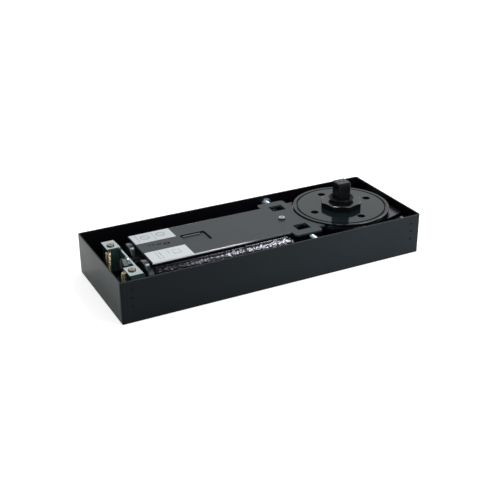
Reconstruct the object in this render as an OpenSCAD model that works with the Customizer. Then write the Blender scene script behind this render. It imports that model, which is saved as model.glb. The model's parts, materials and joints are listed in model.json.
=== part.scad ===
// Floor spring door closer: a cast closer body with twin tubes and a heart cam, in a sheet case.
// Origin at the middle of the case's underside, X along the case, Z up.

/* [Floor case] */
// Outside length of the case
case_l = 354; // [340:1:420]
// Outside width of the case
case_w = 130; // [124:1:150]
// Outside height of the case
case_h = 46.5; // [45:0.5:56]
// Thickness of the case sheet
case_t = 1.6; // [1.2:0.1:2]
// Outside radius of the case's lower edges
case_r = 2; // [1.9:0.1:3]
// Outside radius of the case's upright corners
case_corner_r = 3; // [2.2:0.1:5]
// Length of the welded flanges inside the corners
weld_flange_l = 20; // [14:1:30]
// Distance of the spot welds from the ends of the case
weld_inset = 12; // [8:0.5:14]
// Distance between the spot welds
weld_pitch = 9.3; // [7:0.1:12]
// Radius of the electrode tip that marks the spot welds
weld_r = 1.7; // [1.4:0.1:5]
// Depth of the spot welds' marks
weld_d = 0.9; // [0.2:0.05:1.1]
// Depth of the topmost spot weld below the rim
weld_top = 9.3; // [8:0.5:14]

/* [Cam chamber] */
// Gap between the round cap and the end wall of the case
end_gap = 7.6; // [3:0.1:12]
// Gap between the chamber and the floor of the case
chamber_lift = 2.4; // [1:0.1:4]
// Thickness of the chamber floor
chamber_floor = 5; // [4:0.1:6]
// Outside radius of the chamber
chamber_r = 52.5; // [51.5:0.1:53]
// Bore radius of the chamber
chamber_bore_r = 47; // [46.5:0.1:48]
// Outside radius of the flange round the chamber
chamber_flange_r = 55.6; // [53.2:0.1:56.5]
// Thickness of the flange round the chamber
chamber_flange_t = 4; // [2:0.1:5]

/* [Chamber cap] */
// Radius of the round cap
cap_r = 54.4; // [54:0.1:56]
// Thickness of the cap's rim
cap_t = 2.3; // [2:0.1:3]
// Length of the cap's threaded shank
cap_shank_l = 7.5; // [5:0.1:8]
// Radius of the cap's hub
cap_hub_r = 24; // [20:0.1:28]
// Radius of the fine groove in the cap
groove_r = 50.7; // [46:0.1:52]
// Width of the fine groove
groove_w = 1.2; // [0.4:0.1:1.5]
// Depth of the fine groove
groove_d = 0.9; // [0.3:0.1:1]
// Radius of the spanner holes
spanner_hole_r = 4.4; // [3:0.1:5]
// Distance of the spanner holes from the spindle axis
spanner_pitch_r = 36.9; // [34:0.1:41]
// Depth of the spanner holes
spanner_hole_d = 6; // [3:0.1:7]
// Angle at which the tightened cap has stopped
cap_turn = 5.5; // [0:0.5:90]

/* [Spindle] */
// Radius of the spindle bar
spindle_r = 10; // [9:0.1:10.5]
// Distance across the flats of the square head
square_w = 15.5; // [14:0.1:17]
// Height of the spindle top above the cap
spindle_rise = 29; // [20:0.5:60]
// Length of the round neck above the cap
spindle_neck = 8.5; // [7:0.1:12]
// Radius of the lower journal
journal_r = 7.5; // [6:0.1:8.5]
// Largest swing of the door from closed
swing_max = 125; // [90:1:130]

/* [Gland and bearings] */
// Distance across the flats of the octagonal gland nut
gland_af = 43.9; // [40:0.1:48]
// Height of the gland nut above the cap
gland_h = 6.8; // [5:0.1:9]
// Radius of the gland nut's thread
gland_thread_r = 18.4; // [16:0.1:19]
// Length of the gland nut's thread
gland_thread_l = 3.7; // [3:0.1:4.5]
// Angle at which the tightened gland nut has stopped
gland_turn = -7.7; // [-22:0.1:22]
// Wall of the upper bush
bush_t = 3; // [2:0.1:4]
// Outside radius of the oil seal
oil_seal_r = 14.9; // [13:0.1:15.5]
// Height of the dust seal
dust_seal_h = 3.8; // [2:0.1:6]
// Outside radius of the dust seal's lip
dust_seal_r = 14.2; // [12.5:0.1:18]
// Outside radius of the lower bearing
bearing_r = 16; // [15:0.1:17]
// Height of the lower bearing
bearing_h = 9; // [8:0.1:10]
// Radius of the bearing balls
ball_r = 2.6; // [2:0.1:2.8]
// Number of bearing balls
ball_n = 9; // [6:1:11]

/* [Heart cam and carriage] */
// Distance from spindle axis to closing roller axis with the door closed
cam_r0 = 23; // [22:0.1:24]
// Travel of the carriage for one radian of swing
cam_rise = 5; // [4:0.05:5.2]
// Radius of the rollers
roller_r = 9; // [8:0.1:9.4]
// Height of the rollers and of the cam
roller_h = 11; // [9:0.1:12]
// Radius of the roller pins
pin_r = 4; // [3:0.1:5]
// Thickness of the carriage plates
carriage_t = 3; // [2.4:0.1:3.2]
// Half width of the carriage plates
carriage_hw = 15; // [13.8:0.1:15.2]
// Radius of the carriage end beyond the closing roller
carriage_end_r = 11.5; // [8:0.1:12]
// Thickness of the crosshead that pulls the rods
crosshead_t = 9; // [7:0.1:11]
// Wall of the crosshead outside the rods
crosshead_edge = 3.5; // [2:0.1:4]
// Width and height of the cam key
key_w = 5; // [4:0.1:6]

/* [Tubes, rods and spring] */
// Distance between the two tube axes
tube_pitch = 44; // [43.4:0.1:45]
// Outside radius of the tubes
tube_r = 18.8; // [18.2:0.1:19]
// Outside radius of the tubes at their thicker end
tube_thick_r = 19.4; // [19.2:0.1:19.8]
// Length of the thicker end
tube_thick_l = 57; // [30:1:90]
// Bore radius of the tubes
bore_r = 15.5; // [15.3:0.1:15.8]
// Space between the tubes' far end and the end wall of the case
far_space = 45.6; // [44:0.1:60]
// Thickness of the wall at the end of the bores
bore_wall = 12; // [6:0.1:14]
// Distance from the spindle axis to the near end of the tubes
tube_reach = 83.4; // [80:0.1:88]
// Gap between the tubes and the floor of the case
tube_lift = 3.5; // [3:0.1:3.8]
// Radius of the tube plugs' rims
plug_rim_r = 17.8; // [16.6:0.1:18]
// Width of the tube plugs' rims
plug_rim_l = 7.4; // [5:0.1:8]
// Length of the tube plugs' threads
plug_thread_l = 14; // [10:0.1:18]
// Radius of the pull rods
rod_r = 4.5; // [4.2:0.1:4.8]
// Radius of the rods' threaded ends
rod_end_r = 4; // [3.4:0.1:4.1]
// Free room between the end of the spring rod and its tube's plug
rod_room = 22; // [12:1:40]
// Mean radius of the spring's turns
spring_r = 12; // [11:0.1:12.6]
// Radius of the spring wire
wire_r = 2.7; // [2:0.1:2.9]
// Length of one turn of the spring
spring_pitch = 8.2; // [7:0.1:12]
// Length of the spring rod's threaded end
rod_thread_l = 16; // [13:1:24]
// Distance across the flats of the rod nuts
rod_nut_af = 11; // [9:0.5:11.5]
// Thickness of the rod nuts
rod_nut_h = 5; // [3:0.5:6]
// Distance from the end of the bore to the piston
piston_x = 56; // [30:1:70]
// Length of the piston
piston_l = 24; // [18:1:36]

/* [Top plate] */
// Height of the top plate's face above the seat of the round cap
plate_rise = 1.2; // [0:0.1:1.8]
// Gap between the top plate and the round cap
cap_gap = 1.7; // [0.8:0.1:3]
// Thickness of the top plate
plate_t = 2; // [1.5:0.1:2.4]
// Half width of the top plate
plate_hw = 36; // [35:0.1:36.4]
// Overhang of the top plate past the tubes
plate_overhang = 1.2; // [0.6:0.1:3]
// Radius of the plate's long edges
plate_edge_r = 0.8; // [0.6:0.1:1.4]
// Half width of the plate across its ears
ear_hw = 46; // [43.5:0.1:48]
// Distance from the spindle axis to the near edge of the ears
ear_near = 51.4; // [50:0.1:53]
// Distance from the spindle axis to the far edge of the ears
ear_far = 84.6; // [82:0.1:86]
// Radius of the ears' corners
ear_corner_r = 3.5; // [2:0.1:5]
// Length of the openings in the ears
slot_l = 16; // [14:0.1:17]
// Width of the openings in the ears
slot_w = 13.8; // [12:0.1:14]
// Length of the shallow window pressed into the plate
window_l = 28.7; // [15:0.1:40]
// Thickness of the floor that is left in the plate's window
window_floor = 0.5; // [0.3:0.1:1]
// Width of the window in the plate
window_w = 23; // [12:0.1:26]
// Length of the labels
label_l = 45.4; // [20:0.5:48]
// Width of the front label
front_label_w = 24.7; // [15:0.1:28]
// Width of the rear label
rear_label_w = 22.7; // [15:0.1:28]
// Thickness of the labels
label_t = 0.15; // [0.1:0.05:0.3]

/* [Casting details] */
// Distance that the deck's side stands back from the plate's edge
deck_inset = 0.7; // [0.3:0.1:1.5]
// Radius of the casting's rounded shoulders beside the deck
shoulder_r = 14.2; // [13:0.1:15]
// Depth of the shoulders' tops below the deck
shoulder_drop = 0.2; // [0:0.1:1]
// Rounding that the shoulders gain over the thicker end
shoulder_gain = 0.6; // [0:0.1:0.8]
// Half width of the neck between the tubes and the chamber
neck_hw = 36.5; // [36.3:0.1:37]
// Length of the nose that carries the adjuster bracket
nose_l = 13.2; // [12:0.1:24]
// Radius of the nose
nose_r = 4.9; // [4.6:0.1:5.1]
// Height of the nose's axis above the tubes' axes
nose_up = 7; // [6.5:0.1:9]
// Half width of the flange behind the chamber
rear_flange_hw = 36; // [20:0.5:37]

/* [Adjusters and fasteners] */
// Radius of the levelling, lateral and height screws
adjuster_r = 3; // [2.5:0.1:3]
// Distance across the flats of the lock nuts
lock_nut_af = 10; // [9:0.1:11]
// Thickness of the lock nuts
lock_nut_h = 3.2; // [3:0.1:6]
// Radius of the speed valve screws
valve_r = 3; // [2.5:0.1:3]
// Thickness of the adjuster bracket's sheet
bracket_t = 2; // [1.5:0.1:2.5]
// Half width of the adjuster bracket
bracket_hw = 43.3; // [41:0.1:48]
// Width of the bracket's two posts
post_w = 19.5; // [14:0.1:21]
// Length of the bracket's posts along the case
post_l = 16; // [14:0.1:17]
// Depth of the posts' tops below the rim of the case
post_drop = 5.3; // [2:0.1:6]
// Height of the bracket's low web above the tubes' axes
web_up = 13.5; // [12:0.1:16]
// Length of the bracket's foot along the case
foot_l = 20; // [18:0.1:22]
// Distance between the two height bolts
height_bolt_pitch = 47; // [40:0.5:50]
// Thickness of the cheeks that close the bracket's posts at both sides
cheek_t = 1.5; // [1:0.1:2]
// Distance of the bracket from the middle of the case
bracket_shift = -1.3; // [-2:0.1:1]
// Difference between the heights of the two height bolts
height_bolt_step = 3; // [0:0.5:4]
// Height of the height bolts' tops above the tubes' axes
height_bolt_up = 12; // [6:0.5:14]
// Radius of the cover fixing screws' heads
cover_head_r = 4; // [3:0.1:5]
// Height of the cover fixing screws' heads
cover_head_h = 1.2; // [0.8:0.1:2.4]
// Distance between the two cover fixing screws on the posts
cover_pitch = 64; // [60:0.5:66]
// Radius of the bracket bolt
bracket_bolt_r = 3; // [2.6:0.1:3.2]
// Distance across the flats of the bracket bolt's head
bracket_bolt_af = 13; // [11:0.1:14]
// Radius of the bracket bolt's washer
washer_r = 8; // [6:0.1:9]
// Thickness of the bracket bolt's washer
washer_t = 1.6; // [1:0.1:2.5]
// Radius of the plate screw's head
plate_head_r = 3.9; // [3:0.1:6]
// Distance from the spindle axis to the plate screw
plate_screw_reach = 76.9; // [66:0.1:79]
// Distance between the corner screws at the spindle end
corner_pitch = 92; // [88:0.5:100]
// Width of the corner brackets
corner_w = 9; // [7:0.1:10]
// Height of the corner brackets
corner_h = 18; // [10:0.5:30]
// Radius of the corner screws' heads
corner_head_r = 2.2; // [2:0.1:3.8]
// Height of the fixing screws' heads
screw_head_h = 2; // [1.4:0.1:2.8]
// Length of the fixing screws
screw_l = 8; // [6:0.5:9]

/* [Hidden] */
$fn = 64;

run_gap = 0.06;      // radial clearance of a shaft that turns or slides
fit_gap = 0.03;      // radial clearance of pieces that are fastened together
play = 0.6;          // free gap between moving parts that don't touch
free_gap = 0.8;      // gap round parts that swing past the casting
thin = 0.01;         // how far a cut runs past a face
SIDES = [-1, 1];

// Heights
case_floor = case_t;
chamber_z0 = case_floor + chamber_lift;
cavity_z0 = chamber_z0 + chamber_floor;
bearing_z0 = cavity_z0 - 3;
bearing_z1 = bearing_z0 + bearing_h;
lower_plate_z = bearing_z1 + play;
roller_z = lower_plate_z + carriage_t + play;
upper_plate_z = roller_z + roller_h + play;
hub_z = upper_plate_z + carriage_t + free_gap;
rim_z = hub_z + 1.4 + cap_shank_l;
cap_top = rim_z + cap_t;
plate_top = rim_z + plate_rise;
deck_z = plate_top - plate_t;
tube_z = case_floor + tube_lift + tube_thick_r;
pocket_z = hub_z + 2;
gland_top = cap_top + gland_h;
spindle_top = cap_top + spindle_rise;
square_z = cap_top + spindle_neck;
post_top = case_h - post_drop;
nose_z = tube_z + nose_up;
lateral_z = deck_z - adjuster_r - 1.4;
shoulder_z = deck_z - shoulder_drop - shoulder_r;

// Places along the case
inner_end = case_l / 2 - case_t;
axis_x = inner_end - end_gap - cap_r;
tube_near = axis_x - tube_reach;
tube_far = far_space - inner_end;
bore_end = tube_near - bore_wall;
bracket_x = tube_far - nose_l;
roller_near = cam_r0 + cam_rise * PI;
closing_x = axis_x + cam_r0;
return_x = axis_x - roller_near;
stroke = cam_rise * swing_max * PI / 180;
crosshead_x1 = return_x - roller_r - free_gap;
crosshead_x0 = crosshead_x1 - crosshead_t;
crosshead_hw = tube_pitch / 2 + rod_r + crosshead_edge;
cavity_x0 = crosshead_x0 - 3;
spring_l = bore_end - tube_far - plug_thread_l - rod_room - rod_thread_l;
spring_turns = floor(spring_l / spring_pitch);
seat_x = bore_end - spring_l;
piston_x1 = bore_end - piston_x;
slot_x = axis_x - (ear_near + ear_far) / 2 + 0.5;
slot_y = neck_hw - slot_w / 2 - 1.6;
valve_x = slot_x - slot_l / 2 + valve_r + 1.2;
valve_y = slot_y - slot_w / 2 + valve_r + 0.4;
level_x = cavity_x0 - adjuster_r - 0.7;
level_y = slot_y + slot_w / 2 - adjuster_r - 0.4;
lateral_x = slot_x + 3.7;
ear_x0 = axis_x - ear_far;
ear_x1 = axis_x - ear_near;
corner_x = inner_end - 9.9;

// Sizes that follow from others
pitch_ball_r = (journal_r + bearing_r) / 2;
cage_t = 0.9;
race_wall = 1.9;
cap_thread_r = chamber_bore_r - run_gap;
plug_thread_r = bore_r - run_gap;
post_y = bracket_hw - post_w / 2;
inner_cheek_y = height_bolt_pitch / 2 + adjuster_r - bracket_shift + 0.8;
height_bolt_x = bracket_x - bracket_t - 12.8;
cover_screw_x = bracket_x - bracket_t - 7.5;
lug_hw = ear_hw - 3;
lug_t = 8.5;
wall_y = case_w / 2 - case_t;
shoulder_y = tube_pitch / 2 + tube_thick_r + 0.1 - shoulder_r;

// A round bar along X from x0 to x1
module bar_x(x0, x1, r) {
    translate([x0, 0, 0]) rotate([0, 90, 0]) cylinder(h = x1 - x0, r = r);
}

// A round bar along Y from y0 to y1
module bar_y(y0, y1, r) {
    translate([0, y0, 0]) rotate([-90, 0, 0]) cylinder(h = y1 - y0, r = r);
}

// A round bar along Z from z0 to z1
module bar_z(z0, z1, r) {
    translate([0, 0, z0]) cylinder(h = z1 - z0, r = r);
}

// A ring along Z
module ring_z(z0, z1, r_in, r_out) {
    difference() {
        bar_z(z0, z1, r_out);
        bar_z(z0 - 1, z1 + 1, r_in);
    }
}

// A box given by its lowest and highest corners
module box(low, high) {
    translate(low) cube(high - low);
}

// A hexagon or other polygon bar along Z, by its distance across the flats
module flats_z(z0, z1, af, sides = 6) {
    translate([0, 0, z0]) cylinder(h = z1 - z0, r = af / 2 / cos(180 / sides), $fn = sides);
}

// A hexagon bar along X
module hex_x(x0, x1, af) {
    translate([x0, 0, 0]) rotate([0, 90, 0]) cylinder(h = x1 - x0, r = af / 2 / cos(30), $fn = 6);
}

// A plate along Z with round corners
module round_plate(low, high, r) {
    difference() {
        box(low, high);
        for (sx = [0, 1], sy = [0, 1])
            translate([sx == 0 ? low[0] + r : high[0] - r, sy == 0 ? low[1] + r : high[1] - r, 0])
                difference() {
                    box([sx == 0 ? -r - 1 : 0, sy == 0 ? -r - 1 : 0, low[2] - 1],
                        [sx == 0 ? 0 : r + 1, sy == 0 ? 0 : r + 1, high[2] + 1]);
                    bar_z(low[2] - 2, high[2] + 2, r);
                }
    }
}

// A tray-shaped block with rounded upright corners and rounded bottom edges
module rounded_block(l, w, z0, z1, corner, r) {
    intersection() {
        round_plate([-l / 2, -w / 2, z0], [l / 2, w / 2, z1], corner);
        union() {
            box([-l / 2, -w / 2, z0 + r], [l / 2, w / 2, z1]);
            box([-l / 2, -w / 2 + r, z0], [l / 2, w / 2 - r, z0 + 2 * r]);
            for (s = SIDES) translate([0, s * (w / 2 - r), z0 + r]) bar_x(-l / 2, l / 2, r);
        }
        union() {
            box([-l / 2, -w / 2, z0 + r], [l / 2, w / 2, z1]);
            box([-l / 2 + r, -w / 2, z0], [l / 2 - r, w / 2, z0 + 2 * r]);
            for (s = SIDES) translate([s * (l / 2 - r), 0, z0 + r]) bar_y(-w / 2, w / 2, r);
        }
    }
}

// The open case of folded sheet, with the end plates' flanges and their spot welds
module cement_case() {
    color("#26282a") difference() {
        union() {
            difference() {
                rounded_block(case_l, case_w, 0, case_h, case_corner_r, case_r);
                rounded_block(case_l - 2 * case_t, case_w - 2 * case_t, case_t, case_h + 1,
                              case_corner_r - case_t, case_r - case_t);
            }
            for (sx = SIDES, sy = SIDES)
                translate([sx * (inner_end - weld_flange_l / 2), sy * (wall_y - case_t / 2), 0])
                    box([-weld_flange_l / 2, -case_t / 2 - thin, case_floor + 2],
                        [weld_flange_l / 2, case_t / 2 + thin, case_h - 1.5]);
        }
        for (sx = SIDES, sy = SIDES, k = [0 : 2])
            translate([sx * (case_l / 2 - weld_inset), sy * (case_w / 2 + weld_r - weld_d),
                       case_h - weld_top - k * weld_pitch]) sphere(r = weld_r);
    }
}

// The cut-outs under the plate's ears, through which the speed valves and levelling screws are reached
module adjuster_pockets() {
    for (s = SIDES)
        round_plate([slot_x - slot_l / 2, s * slot_y - slot_w / 2, pocket_z],
                    [slot_x + slot_l / 2, s * slot_y + slot_w / 2, deck_z + 1], 1.5);
}

// The round chamber with its flange, bearing boss and rear flange
module chamber_solid() {
    translate([axis_x, 0, 0]) {
        bar_z(chamber_z0, rim_z, chamber_r);
        bar_z(deck_z - 1.5 - chamber_flange_t, deck_z - 1.5, chamber_flange_r);
    }
    rear_z = deck_z - 3.7;
    rear_x0 = axis_x + 34;
    rear_x1 = inner_end - 3.2;
    translate([0, 0, rear_z - 3]) linear_extrude(height = 3)
        polygon([[axis_x, -rear_flange_hw - 8], [rear_x0, -rear_flange_hw - 8], [rear_x1, -rear_flange_hw],
                 [rear_x1, rear_flange_hw], [rear_x0, rear_flange_hw + 8], [axis_x, rear_flange_hw + 8]]);
}

// The space in the chamber and neck where the cam, rollers and crosshead move
module chamber_cavity() {
    translate([axis_x, 0, 0]) difference() {
        bar_z(cavity_z0, rim_z + 1, chamber_bore_r);
        bar_z(cavity_z0 - 1, bearing_z1, bearing_r + 4);
    }
    box([cavity_x0, -crosshead_hw - 1.5, lower_plate_z - 2.6], [axis_x - 24, crosshead_hw + 1.5, hub_z]);
    translate([axis_x, 0, 0]) {
        bar_z(bearing_z0, bearing_z1 + 1, bearing_r);
        bar_z(chamber_z0 + 1, bearing_z0 + 1, journal_r + 1);
    }
}

// The rounded shoulder over one tube, fuller at the thicker end
module shoulder(side) {
    translate([0, side * shoulder_y, shoulder_z]) {
        bar_x(tube_far, tube_near, shoulder_r - shoulder_gain);
        bar_x(tube_near - tube_thick_l, tube_near, shoulder_r);
    }
}

// The cast body: two tubes side by side, a neck with lugs, and the round cam chamber
module closer_body() {
    color("#1b1c1e") difference() {
        union() {
            for (s = SIDES) translate([0, s * tube_pitch / 2, tube_z]) {
                bar_x(tube_far, tube_near, tube_r);
                bar_x(tube_near - tube_thick_l, tube_near, tube_thick_r);
            }
            box([tube_far, -tube_pitch / 2, tube_z - 9], [tube_near, tube_pitch / 2, deck_z]);
            for (s = SIDES) shoulder(s);
            box([tube_far, deck_inset - plate_hw, shoulder_z],
                [tube_near + 4, plate_hw - deck_inset, deck_z]);
            box([tube_near - 6, -neck_hw, chamber_z0], [axis_x - 45, neck_hw, deck_z]);
            box([ear_x0 + 5, -lug_hw, deck_z - lug_t], [ear_x1, lug_hw, deck_z]);
            translate([0, 0, nose_z]) bar_x(bracket_x, tube_far + 1, nose_r);
            chamber_solid();
        }
        chamber_cavity();
        adjuster_pockets();
        box([tube_far - 1, -plate_hw, deck_z], [tube_near + 1, plate_hw, rim_z + tube_r]);
        for (s = SIDES) {
            translate([0, s * tube_pitch / 2, tube_z]) {
                bar_x(tube_far - 1, bore_end, bore_r);
                bar_x(bore_end - 1, cavity_x0 + 1, rod_r + run_gap);
                bar_x(bore_end - 1, bore_end + 4, rod_r + 3);
            }
            translate([valve_x, s * valve_y, 0]) bar_z(pocket_z - 8, pocket_z + 1, valve_r + run_gap);
            translate([level_x, s * level_y, 0]) bar_z(chamber_z0 - 1, pocket_z + 1, adjuster_r + fit_gap);
            translate([lateral_x, 0, lateral_z])
                bar_y(s > 0 ? neck_hw : -lug_hw - 1, s > 0 ? lug_hw + 1 : -neck_hw, adjuster_r + fit_gap);
        }
        translate([0, 0, nose_z]) bar_x(bracket_x - 1, bracket_x + 12, bracket_bolt_r + fit_gap);
        translate([axis_x - plate_screw_reach, 0, 0]) bar_z(deck_z - 9, deck_z + 1, 2.5 + fit_gap);
        translate([axis_x, 0, 0]) ring_z(rim_z - 1.2, rim_z + 1, chamber_bore_r + 1.2, chamber_r - 1.4);
    }
}

// Middle of the window in the top plate
function window_x() = tube_far + 62.5;
function window_y() = 0.7;

// The flat plate on the casting, with ears over the adjusters and a shallow window
module top_plate() {
    x0 = tube_far - plate_overhang;
    edge_y = plate_hw - plate_edge_r;
    low = [window_x() - window_l / 2, window_y() - window_w / 2, deck_z + window_floor];
    high = [window_x() + window_l / 2, window_y() + window_w / 2, plate_top + 1];
    color("#4d5354") {
        difference() {
            union() {
                box([x0, -edge_y, deck_z], [axis_x, edge_y, plate_top]);
                box([x0, -plate_hw, deck_z], [axis_x, plate_hw, plate_top - plate_edge_r]);
                for (s = SIDES) translate([0, s * edge_y, plate_top - plate_edge_r])
                    bar_x(x0, axis_x, plate_edge_r);
                round_plate([ear_x0, -ear_hw, deck_z], [ear_x1, ear_hw, plate_top], ear_corner_r);
            }
            for (s = SIDES)
                round_plate([slot_x - slot_l / 2, s * slot_y - slot_w / 2, deck_z - 1],
                            [slot_x + slot_l / 2, s * slot_y + slot_w / 2, plate_top + 1], 1);
            round_plate(low, high, 2);
            translate([axis_x - plate_screw_reach, 0, 0]) bar_z(deck_z - 1, plate_top + 1, 2.6);
            translate([axis_x, 0, 0]) bar_z(deck_z - 1, plate_top + 1, cap_r + cap_gap);
        }
        box([low[0] + 3, high[1] - 3.6, deck_z + window_floor - thin],
            [high[0] - 6, high[1] - 2.4, plate_top - 0.5]);
    }
}

// A pan-head screw along Z with a cross recess, seated at z
module pan_screw(z, head_r, head_h, shank_r, shank_l) {
    difference() {
        union() {
            bar_z(z - shank_l, z + head_h / 2, shank_r);
            bar_z(z, z + head_h * 0.75, head_r);
            translate([0, 0, z + head_h * 0.75]) cylinder(h = head_h / 4, r1 = head_r, r2 = head_r * 0.86);
        }
        for (a = [0, 90]) rotate([0, 0, a + 20])
            box([-head_r * 0.5, -head_r * 0.11, z + head_h * 0.35],
                [head_r * 0.5, head_r * 0.11, z + head_h + 1]);
    }
}

// The screw that holds the top plate
module plate_screw() {
    color("#c9c4b8") translate([axis_x - plate_screw_reach, 0, 0]) 
        pan_screw(plate_top, plate_head_r, screw_head_h, 2.5, screw_l);
}

// One label on the plate
module label(y0, y1) {
    x0 = tube_far - plate_overhang + 0.5;
    color("#dfe3e6") box([x0, y0, plate_top], [x0 + label_l, y1, plate_top + label_t]);
}

// The label on the front half of the plate
module front_label() {
    label(-plate_hw + plate_edge_r, -plate_hw + plate_edge_r + front_label_w);
}

// The label on the rear half of the plate
module rear_label() {
    label(plate_hw - plate_edge_r - rear_label_w, plate_hw - plate_edge_r);
}

// The threaded cap of the cam chamber, with four holes for a pin spanner
module chamber_cap() {
    color("#3c4042") translate([axis_x, 0, 0]) difference() {
        union() {
            bar_z(rim_z, cap_top, cap_r);
            bar_z(rim_z - cap_shank_l, rim_z + thin, cap_thread_r);
            bar_z(hub_z, rim_z, cap_hub_r);
        }
        ring_z(cap_top - groove_d, cap_top + 1, groove_r - groove_w / 2, groove_r + groove_w / 2);
        for (k = [0 : 3]) rotate([0, 0, cap_turn + 90 * k])
            translate([spanner_pitch_r, 0, 0]) bar_z(cap_top - spanner_hole_d, cap_top + 1, spanner_hole_r);
        bar_z(hub_z - 1, cap_top + 1, spindle_r + bush_t + fit_gap);
        bar_z(cap_top - gland_thread_l - 0.1, cap_top + 1, gland_thread_r + fit_gap);
    }
}

// The seal ring between the chamber and its cap
module cap_seal_ring() {
    seal_r = (chamber_bore_r + 1.2 + chamber_r - 1.4) / 2;
    color("#101010") translate([axis_x, 0, rim_z - 0.62])
        rotate_extrude() translate([seal_r, 0]) circle(r = 0.56);
}

// The octagonal gland nut round the spindle
module gland_nut() {
    color("#1d1f20") translate([axis_x, 0, 0]) difference() {
        union() {
            rotate([0, 0, gland_turn]) intersection() {
                flats_z(cap_top, gland_top, gland_af, 8);
                union() {
                    bar_z(cap_top, gland_top - 1, gland_af / 2 / cos(22.5) + 1);
                    translate([0, 0, gland_top - 1])
                        cylinder(h = 1, r1 = gland_af / 2 / cos(22.5) + 0.2, r2 = gland_af / 2 - 0.2);
                }
            }
            bar_z(cap_top - gland_thread_l, cap_top + thin, gland_thread_r);
        }
        bar_z(cap_top - gland_thread_l - 1, cap_top + 2.7, oil_seal_r + fit_gap);
        bar_z(cap_top, gland_top + 1, spindle_r + 0.3);
    }
}

// The lip seal inside the gland nut
module oil_seal() {
    color("#151515") translate([axis_x, 0, 0]) difference() {
        bar_z(cap_top - gland_thread_l + 0.2, cap_top + 2.6, oil_seal_r);
        bar_z(cap_top - gland_thread_l, cap_top + 3, spindle_r + run_gap);
        ring_z(cap_top - gland_thread_l - 1, cap_top - 0.6, spindle_r + 1.2, oil_seal_r - 1);
    }
}

// The rubber dust seal on top of the gland nut, wider at its lip
module dust_seal() {
    r0 = spindle_r + run_gap;
    h = dust_seal_h;
    color("#161718") translate([axis_x, 0, gland_top]) rotate_extrude()
        polygon([[r0, 0], [dust_seal_r - 3, 0], [dust_seal_r - 3, h * 0.35], [dust_seal_r, h * 0.8],
                 [dust_seal_r - 0.4, h], [dust_seal_r - 1.4, h], [r0 + 0.8, h * 0.55], [r0, h * 0.55]]);
}

// The bush that guides the spindle in the cap
module upper_bush() {
    color("#a8894a") translate([axis_x, 0, 0])
        ring_z(hub_z, cap_top - gland_thread_l - 0.2, spindle_r + run_gap, spindle_r + bush_t);
}

// A groove for the balls, cut from a race
module ball_track() {
    translate([0, 0, (bearing_z0 + bearing_z1) / 2]) rotate_extrude()
        translate([pitch_ball_r, 0]) circle(r = ball_r + run_gap);
}

// The outer race of the bearing under the spindle
module bearing_outer_race() {
    color("#b9bcc0") translate([axis_x, 0, 0]) difference() {
        ring_z(bearing_z0, bearing_z1, pitch_ball_r + race_wall, bearing_r - fit_gap);
        ball_track();
    }
}

// The inner race of the bearing, which turns with the spindle
module bearing_inner_race() {
    color("#c2c5c9") translate([axis_x, 0, 0]) difference() {
        ring_z(bearing_z0 + 0.3, bearing_z1, journal_r + fit_gap, pitch_ball_r - race_wall);
        ball_track();
    }
}

// The cage that spaces the balls
module ball_cage() {
    mid = (bearing_z0 + bearing_z1) / 2;
    color("#a8894a") translate([axis_x, 0, 0]) difference() {
        ring_z(mid - 3.4, mid + 3.4, pitch_ball_r - cage_t, pitch_ball_r + cage_t);
        for (k = [0 : ball_n - 1]) rotate([0, 0, k * 360 / ball_n])
            translate([0, 0, mid]) bar_x(journal_r, bearing_r, ball_r + fit_gap);
    }
}

// The bearing balls
module bearing_balls() {
    mid = (bearing_z0 + bearing_z1) / 2;
    color("#d9dbde") translate([axis_x, 0, 0])
        for (k = [0 : ball_n - 1]) rotate([0, 0, k * 360 / ball_n])
            translate([pitch_ball_r, 0, mid]) sphere(r = ball_r);
}

// The spindle: lower journal, round body with a keyway, and square head for the door's arm
module spindle() {
    half = square_w / 2;
    color("#232526") translate([axis_x, 0, 0]) difference() {
        union() {
            bar_z(bearing_z0 + 0.3, bearing_z1 + play, journal_r);
            bar_z(bearing_z1 + 0.05, square_z, spindle_r);
            intersection() {
                bar_z(square_z - 1, spindle_top, spindle_r);
                box([-half, -half, square_z - 2], [half, half, spindle_top]);
            }
        }
        for (a = [0 : 90 : 270]) rotate([0, 0, a]) translate([half - 1, -spindle_r, spindle_top])
            rotate([0, 45, 0]) translate([0, 0, -0.02]) box([0, 0, 0], [4, 2 * spindle_r, 4]);
        box([-spindle_r - 1, -key_w / 2 - fit_gap, roller_z],
            [-spindle_r + key_w / 2, key_w / 2 + fit_gap, roller_z + roller_h]);
    }
}

// Distance from the spindle axis to a roller axis after the cam has turned by a degrees
function pitch_r(a) = cam_r0 + cam_rise * a * PI / 180;

// Angle between the roller's path over the cam and a circle
function path_lean(a) = atan(cam_rise / pitch_r(a));

// Point of the cam's flank that meets a roller after a turn of a degrees
function flank(a) = let(d = roller_r + 0.12, n = a - path_lean(a))
    [pitch_r(a) * cos(a) - d * cos(n), pitch_r(a) * sin(a) - d * sin(n)];

// Point of the dip that holds the closing roller when the door is shut
function dip(n) = let(d = roller_r + 0.12) [cam_r0 - d * cos(n), d * sin(n)];

// Upper half of the cam's outline, from the dip to the point of the heart
function half_cam() = concat(
    [for (k = [0 : 4]) dip(k * path_lean(0) / 4)],
    [for (a = [3 : 3 : 180]) if (flank(a)[1] > 0.02) flank(a)]);

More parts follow.
